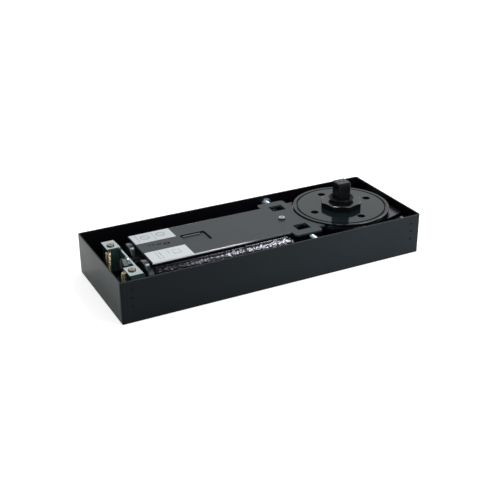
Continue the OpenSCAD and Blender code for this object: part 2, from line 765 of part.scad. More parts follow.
// The heart cam, whose two flanks each lift the carriage evenly with the swing
module heart_cam() {
    upper = half_cam();
    n = len(upper);
    lower = [for (k = [n - 1 : -1 : 1]) [upper[k][0], -upper[k][1]]];
    color("#8e9296") translate([axis_x, 0, 0]) difference() {
        translate([0, 0, roller_z]) linear_extrude(height = roller_h) polygon(concat(upper, lower));
        bar_z(roller_z - 1, roller_z + roller_h + 1, spindle_r + fit_gap);
        box([-spindle_r - key_w / 2 - fit_gap, -key_w / 2 - fit_gap, roller_z - 1],
            [0, key_w / 2 + fit_gap, roller_z + roller_h + 1]);
    }
}

// The key between spindle and cam
module cam_key() {
    color("#8e9296") translate([axis_x, 0, 0])
        box([-spindle_r - key_w / 2, -key_w / 2, roller_z + 0.1],
            [-spindle_r + key_w / 2 - fit_gap, key_w / 2, roller_z + roller_h - 0.1]);
}

// Outline of a carriage plate, with its slot round the spindle and its roller pin holes
module carriage_plate(z0, z1) {
    slot_r = spindle_r + 1;
    difference() {
        union() {
            box([crosshead_x0, -carriage_hw, z0], [closing_x - 4, carriage_hw, z1]);
            translate([closing_x, 0, 0]) bar_z(z0, z1, carriage_end_r);
            box([closing_x - 5, -carriage_end_r, z0], [closing_x, carriage_end_r, z1]);
        }
        translate([axis_x, 0, 0]) bar_z(z0 - 1, z1 + 1, slot_r);
        translate([axis_x - stroke - 0.5, 0, 0]) bar_z(z0 - 1, z1 + 1, slot_r);
        box([axis_x - stroke - 0.5, -slot_r, z0 - 1], [axis_x, slot_r, z1 + 1]);
        for (x = [closing_x, return_x]) translate([x, 0, 0]) bar_z(z0 - 1, z1 + 1, pin_r + fit_gap);
    }
}

// The carriage's lower plate and crosshead, one forging
module carriage_yoke() {
    color("#777b7f") difference() {
        union() {
            carriage_plate(lower_plate_z, lower_plate_z + carriage_t);
            box([crosshead_x0, -crosshead_hw, lower_plate_z], [crosshead_x1, crosshead_hw, upper_plate_z]);
        }
        for (s = SIDES) {
            translate([0, s * tube_pitch / 2, tube_z])
                bar_x(crosshead_x0 - 1, crosshead_x1 + 1, rod_end_r + fit_gap);
            translate([(crosshead_x0 + crosshead_x1) / 2, s * (carriage_hw - 5), 0])
                bar_z(upper_plate_z - 7, upper_plate_z + 1, 2 + fit_gap);
        }
    }
}

// The carriage's upper plate
module carriage_top_plate() {
    color("#85898d") difference() {
        carriage_plate(upper_plate_z, upper_plate_z + carriage_t);
        for (s = SIDES) translate([(crosshead_x0 + crosshead_x1) / 2, s * (carriage_hw - 5), 0])
            bar_z(upper_plate_z - 1, upper_plate_z + carriage_t + 1, 2 + fit_gap);
    }
}

// The two screws that hold the carriage's upper plate to the crosshead
module carriage_screws() {
    color("#5d6165") for (s = SIDES)
        translate([(crosshead_x0 + crosshead_x1) / 2, s * (carriage_hw - 5), 0])
            bar_z(upper_plate_z - 6.8, upper_plate_z + carriage_t - 0.05, 2);
}

// The pins that carry the rollers
module roller_pins() {
    color("#9a9ea2") for (x = [closing_x, return_x]) translate([x, 0, 0])
        bar_z(lower_plate_z, upper_plate_z + carriage_t, pin_r);
}

// A roller on its pin
module roller(x) {
    color("#a2a6aa") translate([x, 0, 0]) difference() {
        union() {
            bar_z(roller_z + 0.6, roller_z + roller_h - 0.6, roller_r);
            translate([0, 0, roller_z]) cylinder(h = 0.6, r1 = roller_r - 0.6, r2 = roller_r);
            translate([0, 0, roller_z + roller_h - 0.6])
                cylinder(h = 0.6, r1 = roller_r, r2 = roller_r - 0.6);
        }
        bar_z(roller_z - 1, roller_z + roller_h + 1, pin_r + run_gap);
    }
}

// The roller that the spring presses into the cam's dip
module closing_roller() {
    roller(closing_x);
}

// The roller that follows the back of the cam
module return_roller() {
    roller(return_x);
}

// A pull rod with thinner threaded ends
module pull_rod(side, x0, shoulder) {
    translate([0, side * tube_pitch / 2, tube_z]) {
        bar_x(shoulder, crosshead_x0, rod_r);
        bar_x(x0, crosshead_x1 + rod_nut_h + 1.5, rod_end_r);
    }
}

// The rod that pulls the spring together
module spring_rod() {
    color("#8b8f93") pull_rod(-1, seat_x - rod_thread_l, seat_x);
}

// The rod of the damping piston
module piston_rod() {
    color("#b4b7ba") pull_rod(1, piston_x1 - piston_l - 8, piston_x1);
}

// The nuts that hold the rods to the crosshead
module rod_nuts() {
    color("#6a6e72") for (s = SIDES) translate([0, s * tube_pitch / 2, tube_z]) difference() {
        hex_x(crosshead_x1, crosshead_x1 + rod_nut_h, rod_nut_af);
        bar_x(crosshead_x1 - 1, crosshead_x1 + rod_nut_h + 1, rod_end_r + fit_gap);
    }
}

// The disc that the spring pushes against
module spring_seat() {
    color("#7d8185") translate([0, -tube_pitch / 2, tube_z]) difference() {
        union() {
            bar_x(seat_x - 4, seat_x, bore_r - 0.5);
            bar_x(seat_x - 1, seat_x + 4, spring_r - wire_r - 0.4);
        }
        bar_x(seat_x - 5, seat_x + thin, rod_end_r + fit_gap);
        bar_x(seat_x, seat_x + 6, rod_r + fit_gap);
    }
}

// The nut that sets the spring's preload
module spring_nut() {
    color("#6a6e72") translate([0, -tube_pitch / 2, tube_z]) difference() {
        hex_x(seat_x - 11, seat_x - 4, 14);
        bar_x(seat_x - 12, seat_x - 3, rod_end_r + fit_gap);
    }
}

// Place of the spring wire along the spring after u turns, with one closed turn at each end
function coil_x(u) = let(p = 2 * wire_r + 0.15, l = spring_l - 1.74 * wire_r - 0.1)
    wire_r * 0.87 + 0.05 + (u < 1 ? u * p : u > spring_turns - 1 ? l - (spring_turns - u) * p
        : p + (u - 1) * (l - 2 * p) / (spring_turns - 2));

// Point of the spring wire's centre line, t from 0 to 1
function coil(t) = [coil_x(spring_turns * t), spring_r * cos(360 * spring_turns * t),
                    spring_r * sin(360 * spring_turns * t)];

// Ring of points round the wire at t
function wire_ring(t, sides) = let(a = 360 * spring_turns * t, c = coil(t))
    [for (k = [0 : sides - 1]) let(b = 360 * k / sides)
        [c[0] + wire_r * sin(b), c[1] + wire_r * cos(b) * cos(a), c[2] + wire_r * cos(b) * sin(a)]];

// The coil spring that shuts the door
module closing_spring() {
    sides = 6;
    steps = spring_turns * 16;
    rings = [for (k = [0 : steps]) wire_ring(k / steps, sides)];
    points = [for (r = rings) for (p = r) p];
    walls = [for (k = [0 : steps - 1], j = [0 : sides - 1]) let(a = k * sides, b = (j + 1) % sides)
        [a + j, a + b, a + sides + b, a + sides + j]];
    ends = [[for (j = [sides - 1 : -1 : 0]) j], [for (j = [0 : sides - 1]) steps * sides + j]];
    color("#5b6470") translate([seat_x, -tube_pitch / 2, tube_z])
        polyhedron(points, concat(walls, ends), convexity = 10);
}

// The damping piston with its ring groove and check valve bore
module piston() {
    x0 = piston_x1 - piston_l;
    color("#9a9ea2") translate([0, tube_pitch / 2, tube_z]) difference() {
        bar_x(x0, piston_x1, bore_r - run_gap);
        bar_x(x0 - 1, piston_x1 + 1, rod_end_r + fit_gap);
        difference() {
            bar_x(x0 + 5, x0 + 8, bore_r + 1);
            bar_x(x0 + 4, x0 + 9, bore_r - 2);
        }
        translate([0, 0, 10]) {
            bar_x(x0 - 1, piston_x1 + 1, 1.2);
            bar_x(x0 + 10, piston_x1 + 1, 2.2);
        }
    }
}

// The piston's ring
module piston_ring() {
    x0 = piston_x1 - piston_l + 5.1;
    color("#222222") translate([0, tube_pitch / 2, tube_z]) difference() {
        bar_x(x0, x0 + 2.8, bore_r - fit_gap);
        bar_x(x0 - 1, x0 + 4, bore_r - 2 + 0.1);
    }
}

// The nut that holds the piston on its rod
module piston_nut() {
    x1 = piston_x1 - piston_l;
    color("#6a6e72") translate([0, tube_pitch / 2, tube_z]) difference() {
        hex_x(x1 - 6, x1, 13);
        bar_x(x1 - 7, x1 + 1, rod_end_r + fit_gap);
    }
}

// The ball that lets oil through the piston as the door opens
module check_valve_ball() {
    color("#d9dbde") translate([piston_x1 - piston_l + 11.65, tube_pitch / 2, tube_z + 10]) sphere(r = 2);
}

// The clip that keeps the check valve ball in
module check_valve_clip() {
    x0 = piston_x1 - piston_l + 15;
    color("#8b8f93") translate([0, tube_pitch / 2, tube_z + 10]) difference() {
        bar_x(x0, x0 + 1, 2.2 - fit_gap);
        bar_x(x0 - 1, x0 + 2, 1.2);
    }
}

// The seals where the rods leave the tubes
module rod_seals() {
    color("#151515") for (s = SIDES) translate([0, s * tube_pitch / 2, tube_z]) difference() {
        bar_x(bore_end + 0.2, bore_end + 3.9, rod_r + 3 - fit_gap);
        bar_x(bore_end - 1, bore_end + 5, rod_r + run_gap);
    }
}

// A threaded plug in the far end of a tube
module tube_plug(side) {
    color("#202224") translate([0, side * tube_pitch / 2, tube_z]) difference() {
        union() {
            bar_x(tube_far - plug_rim_l + 1, tube_far, plug_rim_r);
            translate([tube_far - plug_rim_l, 0, 0]) rotate([0, 90, 0])
                cylinder(h = 1, r1 = plug_rim_r - 1, r2 = plug_rim_r);
            bar_x(tube_far - thin, tube_far + plug_thread_l, plug_thread_r);
        }
        hex_x(tube_far - plug_rim_l - 1, tube_far - plug_rim_l + 5, 12);
        difference() {
            bar_x(tube_far + 4, tube_far + 6, bore_r + 1);
            bar_x(tube_far + 3, tube_far + 7, bore_r - 1.6);
        }
    }
}

// The plug of the spring's tube
module spring_tube_plug() {
    tube_plug(-1);
}

// The plug of the oil-filled tube
module oil_tube_plug() {
    tube_plug(1);
}

// The seal rings on the plugs
module plug_seal_rings() {
    color("#151515") for (s = SIDES) translate([tube_far + 5, s * tube_pitch / 2, tube_z])
        rotate([0, 90, 0]) rotate_extrude() translate([bore_r - 0.8, 0]) circle(r = 0.72);
}

// A slotted valve screw that sets the closing or the latching speed
module valve_screw(side) {
    color("#b9a25c") translate([valve_x, side * valve_y, 0]) difference() {
        union() {
            bar_z(pocket_z - 5, pocket_z + 1.6, valve_r);
            translate([0, 0, pocket_z - 7.6]) cylinder(h = 2.6, r1 = 0.6, r2 = valve_r);
        }
        rotate([0, 0, 30]) box([-valve_r - 1, -0.5, pocket_z + 0.4], [valve_r + 1, 0.5, pocket_z + 3]);
    }
}

// The valve that sets the closing speed
module closing_valve_screw() {
    valve_screw(-1);
}

// The valve that sets the latching speed
module latching_valve_screw() {
    valve_screw(1);
}

// A set screw along Z with a hexagon socket in its top
module set_screw(z0, z1) {
    difference() {
        union() {
            bar_z(z0, z1 - 0.6, adjuster_r);
            translate([0, 0, z1 - 0.6]) cylinder(h = 0.6, r1 = adjuster_r, r2 = adjuster_r - 0.6);
        }
        flats_z(z1 - 3, z1 + 1, adjuster_r);
    }
}

// The screws that level the spindle end on the case floor
module levelling_screws() {
    color("#b7bdc0") for (s = SIDES)
        translate([level_x, s * level_y, 0]) set_screw(case_floor, pocket_z + 1.8);
}

// The screws that set the body across the case
module lateral_screws() {
    color("#c3ccd2") for (s = SIDES) translate([lateral_x, 0, lateral_z])
        rotate([s > 0 ? -90 : 90, 0, 0]) bar_z(neck_hw + 0.4, wall_y - 0.1, adjuster_r);
}

// The lock nuts of the lateral screws
module lateral_lock_nuts() {
    color("#c3ccd2") for (s = SIDES) translate([lateral_x, 0, lateral_z])
        rotate([s > 0 ? -90 : 90, 0, 0]) difference() {
            rotate([0, 0, 12]) flats_z(wall_y - 0.5 - lock_nut_h, wall_y - 0.5, lock_nut_af);
            bar_z(neck_hw, wall_y, adjuster_r + fit_gap);
        }
}

// A quarter bend of sheet along Y, r inside, from the direction of angle a
module bend_y(y0, y1, r, a) {
    translate([0, y0, 0]) rotate([-90, 0, 0]) intersection() {
        difference() {
            cylinder(h = y1 - y0, r = r + bracket_t);
            translate([0, 0, -1]) cylinder(h = y1 - y0 + 2, r = r);
        }
        rotate([0, 0, a]) translate([0, 0, -1]) cube([r + bracket_t + 1, r + bracket_t + 1, y1 - y0 + 2]);
    }
}

// The zinc-plated bracket at the far end, with two posts for the floor cover's screws
module adjuster_bracket() {
    r = 0.6;
    x1 = bracket_x;
    x0 = x1 - bracket_t;
    foot_z = case_floor + 4.4;
    web_z = tube_z + web_up;
    cheek_z = foot_z + bracket_t + lock_nut_h + 0.5;
    bend_x = x0 - r;
    color("#aeb6b8") difference() {
        translate([0, bracket_shift, 0]) {
            box([x0, -bracket_hw, foot_z + bracket_t + r], [x1, bracket_hw, web_z]);
            box([x1 - foot_l, -bracket_hw, foot_z], [bend_x, bracket_hw, foot_z + bracket_t]);
            translate([bend_x, 0, foot_z + bracket_t + r]) bend_y(-bracket_hw, bracket_hw, r, 0);
            for (s = SIDES) translate([0, s * post_y, 0]) {
                box([x0, -post_w / 2, web_z - 1], [x1, post_w / 2, post_top - bracket_t - r]);
                box([x1 - post_l, -post_w / 2, post_top - bracket_t], [bend_x, post_w / 2, post_top]);
                translate([bend_x, 0, post_top - bracket_t - r]) bend_y(-post_w / 2, post_w / 2, r, -90);
            }
            for (s = SIDES) translate([cover_screw_x, s * cover_pitch / 2, 0])
                bar_z(post_top - bracket_t - 3, post_top - thin, 4);
            for (s = SIDES, y = [inner_cheek_y, bracket_hw - cheek_t])
                box([x1 - post_l + 1, s > 0 ? y : -y - cheek_t, cheek_z],
                    [x0 + thin, s > 0 ? y + cheek_t : -y, post_top - 1]);
        }
        for (s = SIDES) {
            translate([cover_screw_x, bracket_shift + s * cover_pitch / 2, 0])
                bar_z(post_top - 10, post_top + 1, 2.4 + fit_gap);
            translate([height_bolt_x, s * height_bolt_pitch / 2, 0])
                bar_z(foot_z - 1, foot_z + bracket_t + 1, adjuster_r + fit_gap);
        }
        translate([0, 0, nose_z]) bar_x(x0 - 1, x1 + 1, bracket_bolt_r + fit_gap);
    }
}

// The hexagon bolt that holds the bracket to the casting's nose
module bracket_bolt() {
    x1 = bracket_x - bracket_t - washer_t;
    color("#c3ccd2") translate([0, 0, nose_z]) {
        bar_x(x1 - 1, bracket_x + 10, bracket_bolt_r);
        intersection() {
            rotate([14, 0, 0]) hex_x(x1 - 5.3, x1, bracket_bolt_af);
            union() {
                bar_x(x1 - 4.4, x1, bracket_bolt_af);
                translate([x1 - 5.3, 0, 0]) rotate([0, 90, 0])
                    cylinder(h = 0.92, r1 = bracket_bolt_af / 2 - 0.4, r2 = bracket_bolt_af / 2 + 1.1);
            }
        }
    }
}

// The washer under the bracket bolt's head
module bracket_washer() {
    x1 = bracket_x - bracket_t;
    color("#c3ccd2") translate([0, 0, nose_z]) difference() {
        bar_x(x1 - washer_t, x1, washer_r);
        bar_x(x1 - 3, x1 + 1, bracket_bolt_r + fit_gap);
    }
}

// The bolts that set the height of the far end
module height_bolts() {
    color("#b3945a") for (s = SIDES) translate([height_bolt_x, s * height_bolt_pitch / 2, 0])
        set_screw(case_floor, tube_z + height_bolt_up + s * height_bolt_step / 2);
}

// The lock nuts of the height bolts
module height_lock_nuts() {
    z0 = case_floor + 4.4 + bracket_t;
    color("#b3945a") for (s = SIDES) translate([height_bolt_x, s * height_bolt_pitch / 2, 0]) difference() {
        rotate([0, 0, 20]) flats_z(z0, z0 + lock_nut_h, lock_nut_af);
        bar_z(z0 - 1, z0 + lock_nut_h + 1, adjuster_r + fit_gap);
    }
}

// The screws on the posts, ready for the floor cover
module cover_post_screws() {
    color("#c8bfa4") for (s = SIDES)
        translate([cover_screw_x, bracket_shift + s * cover_pitch / 2, 0])
            pan_screw(post_top, cover_head_r, cover_head_h, 2.4, screw_l);
}

// The angle brackets in the corners at the spindle end
module corner_brackets() {
    z1 = deck_z - 6.4;
    color("#2a2c2e") for (s = SIDES) translate([0, s * corner_pitch / 2, 0]) difference() {
        union() {
            box([corner_x - 5.2, -corner_w / 2, z1 - bracket_t], [inner_end, corner_w / 2, z1]);
            box([inner_end - bracket_t, -corner_w / 2, z1 - corner_h], [inner_end, corner_w / 2, z1]);
        }
        translate([corner_x, 0, 0]) bar_z(z1 - 3, z1 + 1, 1.9 + fit_gap);
    }
}

// The screws in the corner brackets, ready for the floor cover
module corner_screws() {
    z1 = deck_z - 6.4;
    color("#c9c4b8") for (s = SIDES) translate([corner_x, s * corner_pitch / 2, 0])
        pan_screw(z1, corner_head_r, screw_head_h, 1.9, screw_l);
}

cement_case();
closer_body();
top_plate();
plate_screw();
front_label();
rear_label();
chamber_cap();
cap_seal_ring();
gland_nut();
oil_seal();
dust_seal();
upper_bush();
bearing_outer_race();
bearing_inner_race();
ball_cage();
bearing_balls();
spindle();
heart_cam();
cam_key();
carriage_yoke();
carriage_top_plate();
carriage_screws();
roller_pins();
closing_roller();
return_roller();
spring_rod();
piston_rod();
rod_nuts();
spring_seat();
spring_nut();
closing_spring();
piston();
piston_ring();
piston_nut();
check_valve_ball();
check_valve_clip();
rod_seals();
spring_tube_plug();
oil_tube_plug();
plug_seal_rings();
closing_valve_screw();
latching_valve_screw();
levelling_screws();
lateral_screws();
lateral_lock_nuts();
adjuster_bracket();
bracket_bolt();
bracket_washer();
height_bolts();
height_lock_nuts();
cover_post_screws();
corner_brackets();
corner_screws();
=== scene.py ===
"""The looks of a floor spring door closer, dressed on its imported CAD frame.

Blender works in metres in the part's own frame: X along the case towards the spindle, Y across it, Z up.
Lengths in this script are in millimetres unless a comment says metres, and MM turns them into metres.
"""
import json
import math

import bmesh
import bpy
from mathutils import Matrix, Vector, noise


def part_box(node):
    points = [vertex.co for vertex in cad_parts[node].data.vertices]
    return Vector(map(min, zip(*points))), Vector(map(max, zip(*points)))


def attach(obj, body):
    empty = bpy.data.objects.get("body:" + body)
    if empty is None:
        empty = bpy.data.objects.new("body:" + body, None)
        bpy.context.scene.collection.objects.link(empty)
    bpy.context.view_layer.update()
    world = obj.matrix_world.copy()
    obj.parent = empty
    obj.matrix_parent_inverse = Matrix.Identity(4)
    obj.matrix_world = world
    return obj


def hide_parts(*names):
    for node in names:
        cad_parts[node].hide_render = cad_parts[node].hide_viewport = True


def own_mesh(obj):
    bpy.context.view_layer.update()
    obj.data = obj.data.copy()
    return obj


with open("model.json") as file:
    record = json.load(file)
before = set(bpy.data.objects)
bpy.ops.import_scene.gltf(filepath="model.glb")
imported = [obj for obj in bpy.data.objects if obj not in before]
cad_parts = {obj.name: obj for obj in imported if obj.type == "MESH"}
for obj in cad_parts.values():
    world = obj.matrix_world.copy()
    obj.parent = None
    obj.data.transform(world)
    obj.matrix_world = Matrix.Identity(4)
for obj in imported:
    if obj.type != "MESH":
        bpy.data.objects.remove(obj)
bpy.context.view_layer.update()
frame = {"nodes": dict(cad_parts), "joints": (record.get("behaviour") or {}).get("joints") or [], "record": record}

MM = 0.001
SIDES = (-1, 1)          # front and rear


# --------------------------------------------------------------------------------------
# Places and sizes
# --------------------------------------------------------------------------------------

# Taken from the CAD frame's boxes
CASE_LOW, CASE_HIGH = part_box("cement_case")
CASE_LEFT, CASE_RIGHT = CASE_LOW.x / MM, CASE_HIGH.x / MM
CASE_REAR, CASE_TOP = CASE_HIGH.y / MM, CASE_HIGH.z / MM
PLATE_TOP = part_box("top_plate")[1].z / MM
CAP_LOW, CAP_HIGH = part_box("chamber_cap")
CAP_LEFT, CAP_RIGHT, CAP_TOP = CAP_LOW.x / MM, CAP_HIGH.x / MM, CAP_HIGH.z / MM
CAP_R = (CAP_HIGH.x - CAP_LOW.x) / 2 / MM
AXIS_X = ((CAP_LOW + CAP_HIGH) / 2).x / MM               # the spindle's axis
SPINDLE_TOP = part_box("spindle")[1].z / MM
NUT_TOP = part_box("gland_nut")[1].z / MM + 0.05           # just above the gland nut's top face
POCKET_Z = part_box("closing_valve_screw")[1].z / MM - 1.6   # floor of the pockets under the plate's openings
BOLT_LOW, BOLT_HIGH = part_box("bracket_bolt")
BOLT_HALF = (BOLT_HIGH.y - BOLT_LOW.y) / 2 / MM + 0.3    # half width of the strip round the bracket's bolt
POST_LOW, POST_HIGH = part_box("cover_post_screws")
POST_HEAD = (POST_HIGH.x - POST_LOW.x) / 2 / MM          # radius of the cover screws' heads
POST_SCREWS = [((POST_LOW.x + POST_HIGH.x) / 2 / MM, y)
               for y in (POST_LOW.y / MM + POST_HEAD, POST_HIGH.y / MM - POST_HEAD)]

# Of the CAD solids, where their boxes don't give them
PLATE_HW = 36.0                       # half width of the plate between its ears
WINDOW_X, WINDOW_Y = -67.3, 0.7       # middle of the plate's shallow recess
WINDOW_HALF = (14.35, 11.5)           # half of the recess's length and width
GROOVE_R = 50.1                       # middle radius of the groove in the cap
BRACKET_END = -100.0                  # zinc pieces short of this X are the bracket's
TUBE_FAR, TUBE_NEAR = -129.8, 30.0    # ends of the casting's two tubes
TUBE_STEP = -27.0                     # X where the tubes grow thicker
TUBE_Y, TUBE_Z = 22.0, 24.5           # axis of a tube
TUBE_R = (18.8, 19.4)                 # radius of its thin part and of its thick part
SHOULDER_Y, SHOULDER_Z = 27.3, 28.3   # axis of the shoulder that runs along a tube
SHOULDER_R = (13.6, 14.2)
DECK_HW, DECK_Z = 35.3, 42.7          # half width and height of the deck under the plate
HEIGHT_BOLT_STEP = 3.0                # difference between the tops of the two height bolts
LATERAL_NEAR = 36.9                   # inner end of the lateral screws, from the middle plane

# Of the pieces that are added to the solids
SKIN_GRID = 0.5                       # spacing of the cast skins' mesh
SKIN_INSET = 0.2                      # how far a skin stops short of its tube's ends
SKIN_ARC = (37.0, 158.0)              # degrees from upright between which a skin lies
SKIN_FADE = 1.2                       # length over which a skin sinks into the solid at an end
STEP_LONG = 1.2                       # length of the tube's step
SKIN_PROUD, SKIN_LEAST = 0.22, 0.03   # middle height and least height of a skin's relief
SKIN_LUMPS = ((0.26, 0.36), (0.17, 0.85), (0.06, 1.7))   # each layer's height, and lumps to a millimetre
THREAD_TURNS = 36                     # points round a screw
THREAD_PITCH = 1.0
SOCKET_ACROSS, SOCKET_DEEP = 3.0, 2.9
WELD_METRES = 0.00003                 # points of a screw that are closer than this, in metres, are one
SOFTENED = {"gland_nut": 0.35, "spindle": 0.3, "chamber_cap": 0.3, "adjuster_bracket": 0.3,
            "bracket_bolt": 0.55, "closer_body": 0.35, "height_lock_nuts": 0.2,
            "lateral_lock_nuts": 0.2, "top_plate": 0.12}   # width of the round on each node's edges

# Of marks that say nothing
STAMPED_RINGS = ((-100.6, 1.2, 3.6, 2.3, 0.34), (-108.4, 3.1, 2.3, 1.9, 0.30))   # x, y, two radii, line
STAMPED_STROKES = ((-114.6, 4.0), (-118.6, 4.6))
PRINTED_RINGS = ((-116.0, 24.6), (-98.2, 25.2))
PRINTED_RULES = ((-124.5, 15.4, 34.7), (-106.3, 13.0, 33.0), (-120.2, -32.0, -13.0),
                 (-116.4, -32.0, -13.0), (-107.2, -23.0, -13.5))                   # x, low y, high y
PRINTED_SQUARE = (-99.0, -21.0)
SPINDLE_SPOTS = ((-2.4, 0.8), (2.2, -0.6))   # marks on the spindle's head, from its axis

# Of the studio, in metres and watts
FLOOR_HALF, FLOOR_DROP = 6, 0.0002
KEY_OVERHEAD, KEY_FRONT = 0.9, 2.1


# --------------------------------------------------------------------------------------
# Camera
# --------------------------------------------------------------------------------------

def link(made):
    """Puts a new object in the scene."""
    bpy.context.scene.collection.objects.link(made)
    return made


def camera():
    """The camera, a little above the long front wall and to its left; distances are in metres."""
    azimuth, elevation, roll = math.radians(-27.157), math.radians(25.968), math.radians(-0.299)
    distance, right_shift, up_shift = 1.035372, -0.002937, 0.012964
    back = Vector((math.sin(azimuth) * math.cos(elevation), -math.cos(azimuth) * math.cos(elevation),
                   math.sin(elevation)))
    level = Vector((0, 0, 1)).cross(back).normalized()
    upright = back.cross(level)
    right = level * math.cos(roll) + upright * math.sin(roll)
    up = upright * math.cos(roll) - level * math.sin(roll)
    data = bpy.data.cameras.new("camera")
    data.lens, data.sensor_width = 67.07, 36
    data.clip_start, data.clip_end = 0.05, 50
    made = bpy.data.objects.new("camera", data)
    made.matrix_world = Matrix((right, up, back)).transposed().to_4x4()
    made.matrix_world.translation = back * distance + right * right_shift + up * up_shift
    bpy.context.scene.camera = link(made)


# --------------------------------------------------------------------------------------
# Material maths
# --------------------------------------------------------------------------------------

class Value:
    """A number or vector on its way through a tree of nodes."""

    def __init__(self, nodes, socket):
        self.nodes, self.socket = nodes, socket

    def __add__(self, other):
        return self.nodes.maths("ADD", self, other)

    def __sub__(self, other):
        return self.nodes.maths("SUBTRACT", self, other)

    def __rsub__(self, other):
        return self.nodes.maths("SUBTRACT", other, self)

    def __mul__(self, other):
        return self.nodes.maths("MULTIPLY", self, other)

    def __truediv__(self, other):
        return self.nodes.maths("DIVIDE", self, other)

    def __pow__(self, other):
        return self.nodes.maths("POWER", self, other)

    __radd__ = __add__
    __rmul__ = __mul__

    def __abs__(self):
        return self.nodes.maths("ABSOLUTE", self)

    def __lt__(self, other):
        return self.nodes.maths("LESS_THAN", self, other)

    def __gt__(self, other):
        return self.nodes.maths("GREATER_THAN", self, other)


class Nodes:
    """A tree of shader nodes, built node by node."""

    def __init__(self, tree):
        self.tree = tree
        self.tree.nodes.clear()

    def plug(self, socket, value):
        """Sets a socket's value, or links it."""
        if isinstance(value, Value):
            self.tree.links.new(value.socket, socket)
        elif isinstance(value, tuple) and len(value) == 3 and socket.type == "RGBA":
            socket.default_value = (*value, 1)
        else:
            socket.default_value = value

    def node(self, kind, settings=None, values=None, out=0):
        """Any node: its settings first, then the values or links of its sockets."""
        made = self.tree.nodes.new("ShaderNode" + kind)
        for name, value in (settings or {}).items():
            setattr(made, name, value)
        for name, value in (values or {}).items():
            self.plug(made.inputs[name], value)
        return Value(self, made.outputs[out])

    def maths(self, operation, *values):
        return self.node("Math", {"operation": operation}, dict(enumerate(values)))

    def least(self, a, b):
        return self.maths("MINIMUM", a, b)

    def most(self, a, b):
        return self.maths("MAXIMUM", a, b)

    def ease(self, value, low, high):
        """0 below low, 1 above high, smooth between them."""
        return self.node("MapRange", {"interpolation_type": "SMOOTHSTEP"},
                         {"Value": value, "From Min": low, "From Max": high})

    def camera_rays(self):
        """1 for what the camera sees directly, 0 for all other light."""
        return self.node("LightPath", out="Is Camera Ray")

    def end(self, kind, shader):
        """Joins a shader to the tree's output, whose kind is Material or World."""
        output = self.tree.nodes.new("ShaderNodeOutput" + kind)
        self.tree.links.new(shader.socket, output.inputs["Surface"])


class Finish(Nodes):
    """One procedural material; mm, x, y and z are the place on the part in millimetres."""

    def __init__(self, name):
        self.material = bpy.data.materials.new(name)
        self.material.use_nodes = True
        super().__init__(self.material.node_tree)
        self.mm = self.vector("SCALE", self.node("TexCoord", out="Object"), scale=1 / MM)
        parts = self.node("SeparateXYZ", values={0: self.mm}).socket.node
        self.x, self.y, self.z = (Value(self, parts.outputs[k]) for k in range(3))

    def vector(self, operation, *values, scale=None):
        sockets = dict(enumerate(values))
        if scale is not None:
            sockets["Scale"] = scale
        return self.node("VectorMath", {"operation": operation}, sockets)

    def noise(self, scale, detail=2.0, roughness=0.5, at=None):
        """Cloudy noise; scale is its number of lumps to a millimetre."""
        return self.node("TexNoise", None, {"Vector": at or self.mm, "Scale": scale, "Detail": detail,
                                            "Roughness": roughness})

    def grains(self, scale, feature="F1"):
        """Cell pattern; scale is its number of cells to a millimetre."""
        return self.node("TexVoronoi", {"feature": feature}, {"Vector": self.mm, "Scale": scale},
                         out="Distance")

    def stretch(self, x, y, z):
        """Place in millimetres, scaled along each axis."""
        return self.vector("MULTIPLY", self.mm, (x, y, z))

    def reach(self, across, along):
        """Length of two level distances at right angles."""
        return self.maths("SQRT", across ** 2 + along ** 2)

    def tint(self, factor, first, second):
        """A colour between two colours."""
        made = self.tree.nodes.new("ShaderNodeMix")
        made.data_type = "RGBA"
        for index, value in ((0, factor), (6, first), (7, second)):
            self.plug(made.inputs[index], value)
        return Value(self, made.outputs[2])

    def upright(self, low=0.2, high=0.5):
        """1 on upright faces, 0 on level ones; low and high bound the change."""
        level = self.node("SeparateXYZ", values={0: self.node("NewGeometry", out="Normal")}, out=2)
        return 1.0 - self.ease(abs(level), low, high)

    def bump(self, height, depth, strength=1.0):
        """Normal from a height of 0 to 1 that stands for a depth in millimetres."""
        return self.node("Bump", None, {"Height": height, "Distance": depth * MM, "Strength": strength})

    def surface(self, dull=None, **sockets):
        """Ends the finish with its shader; names are its sockets' names, with _ for a space.

        Dull is a mask of dead black, for marks and painted shade, and for faces that have nothing bright to
        mirror.
        """
        shader = self.node("BsdfPrincipled", None,
                           {name.replace("_", " "): value for name, value in sockets.items()})
        if dull is not None:
            black = self.node("BsdfPrincipled", None, {"Base Color": (0.002, 0.002, 0.0025),
                                                       "Roughness": 0.8, "Specular IOR Level": 0.03})
            shader = self.node("MixShader", None, {0: dull, 1: shader, 2: black})
        self.end("Material", shader)
        return self.material
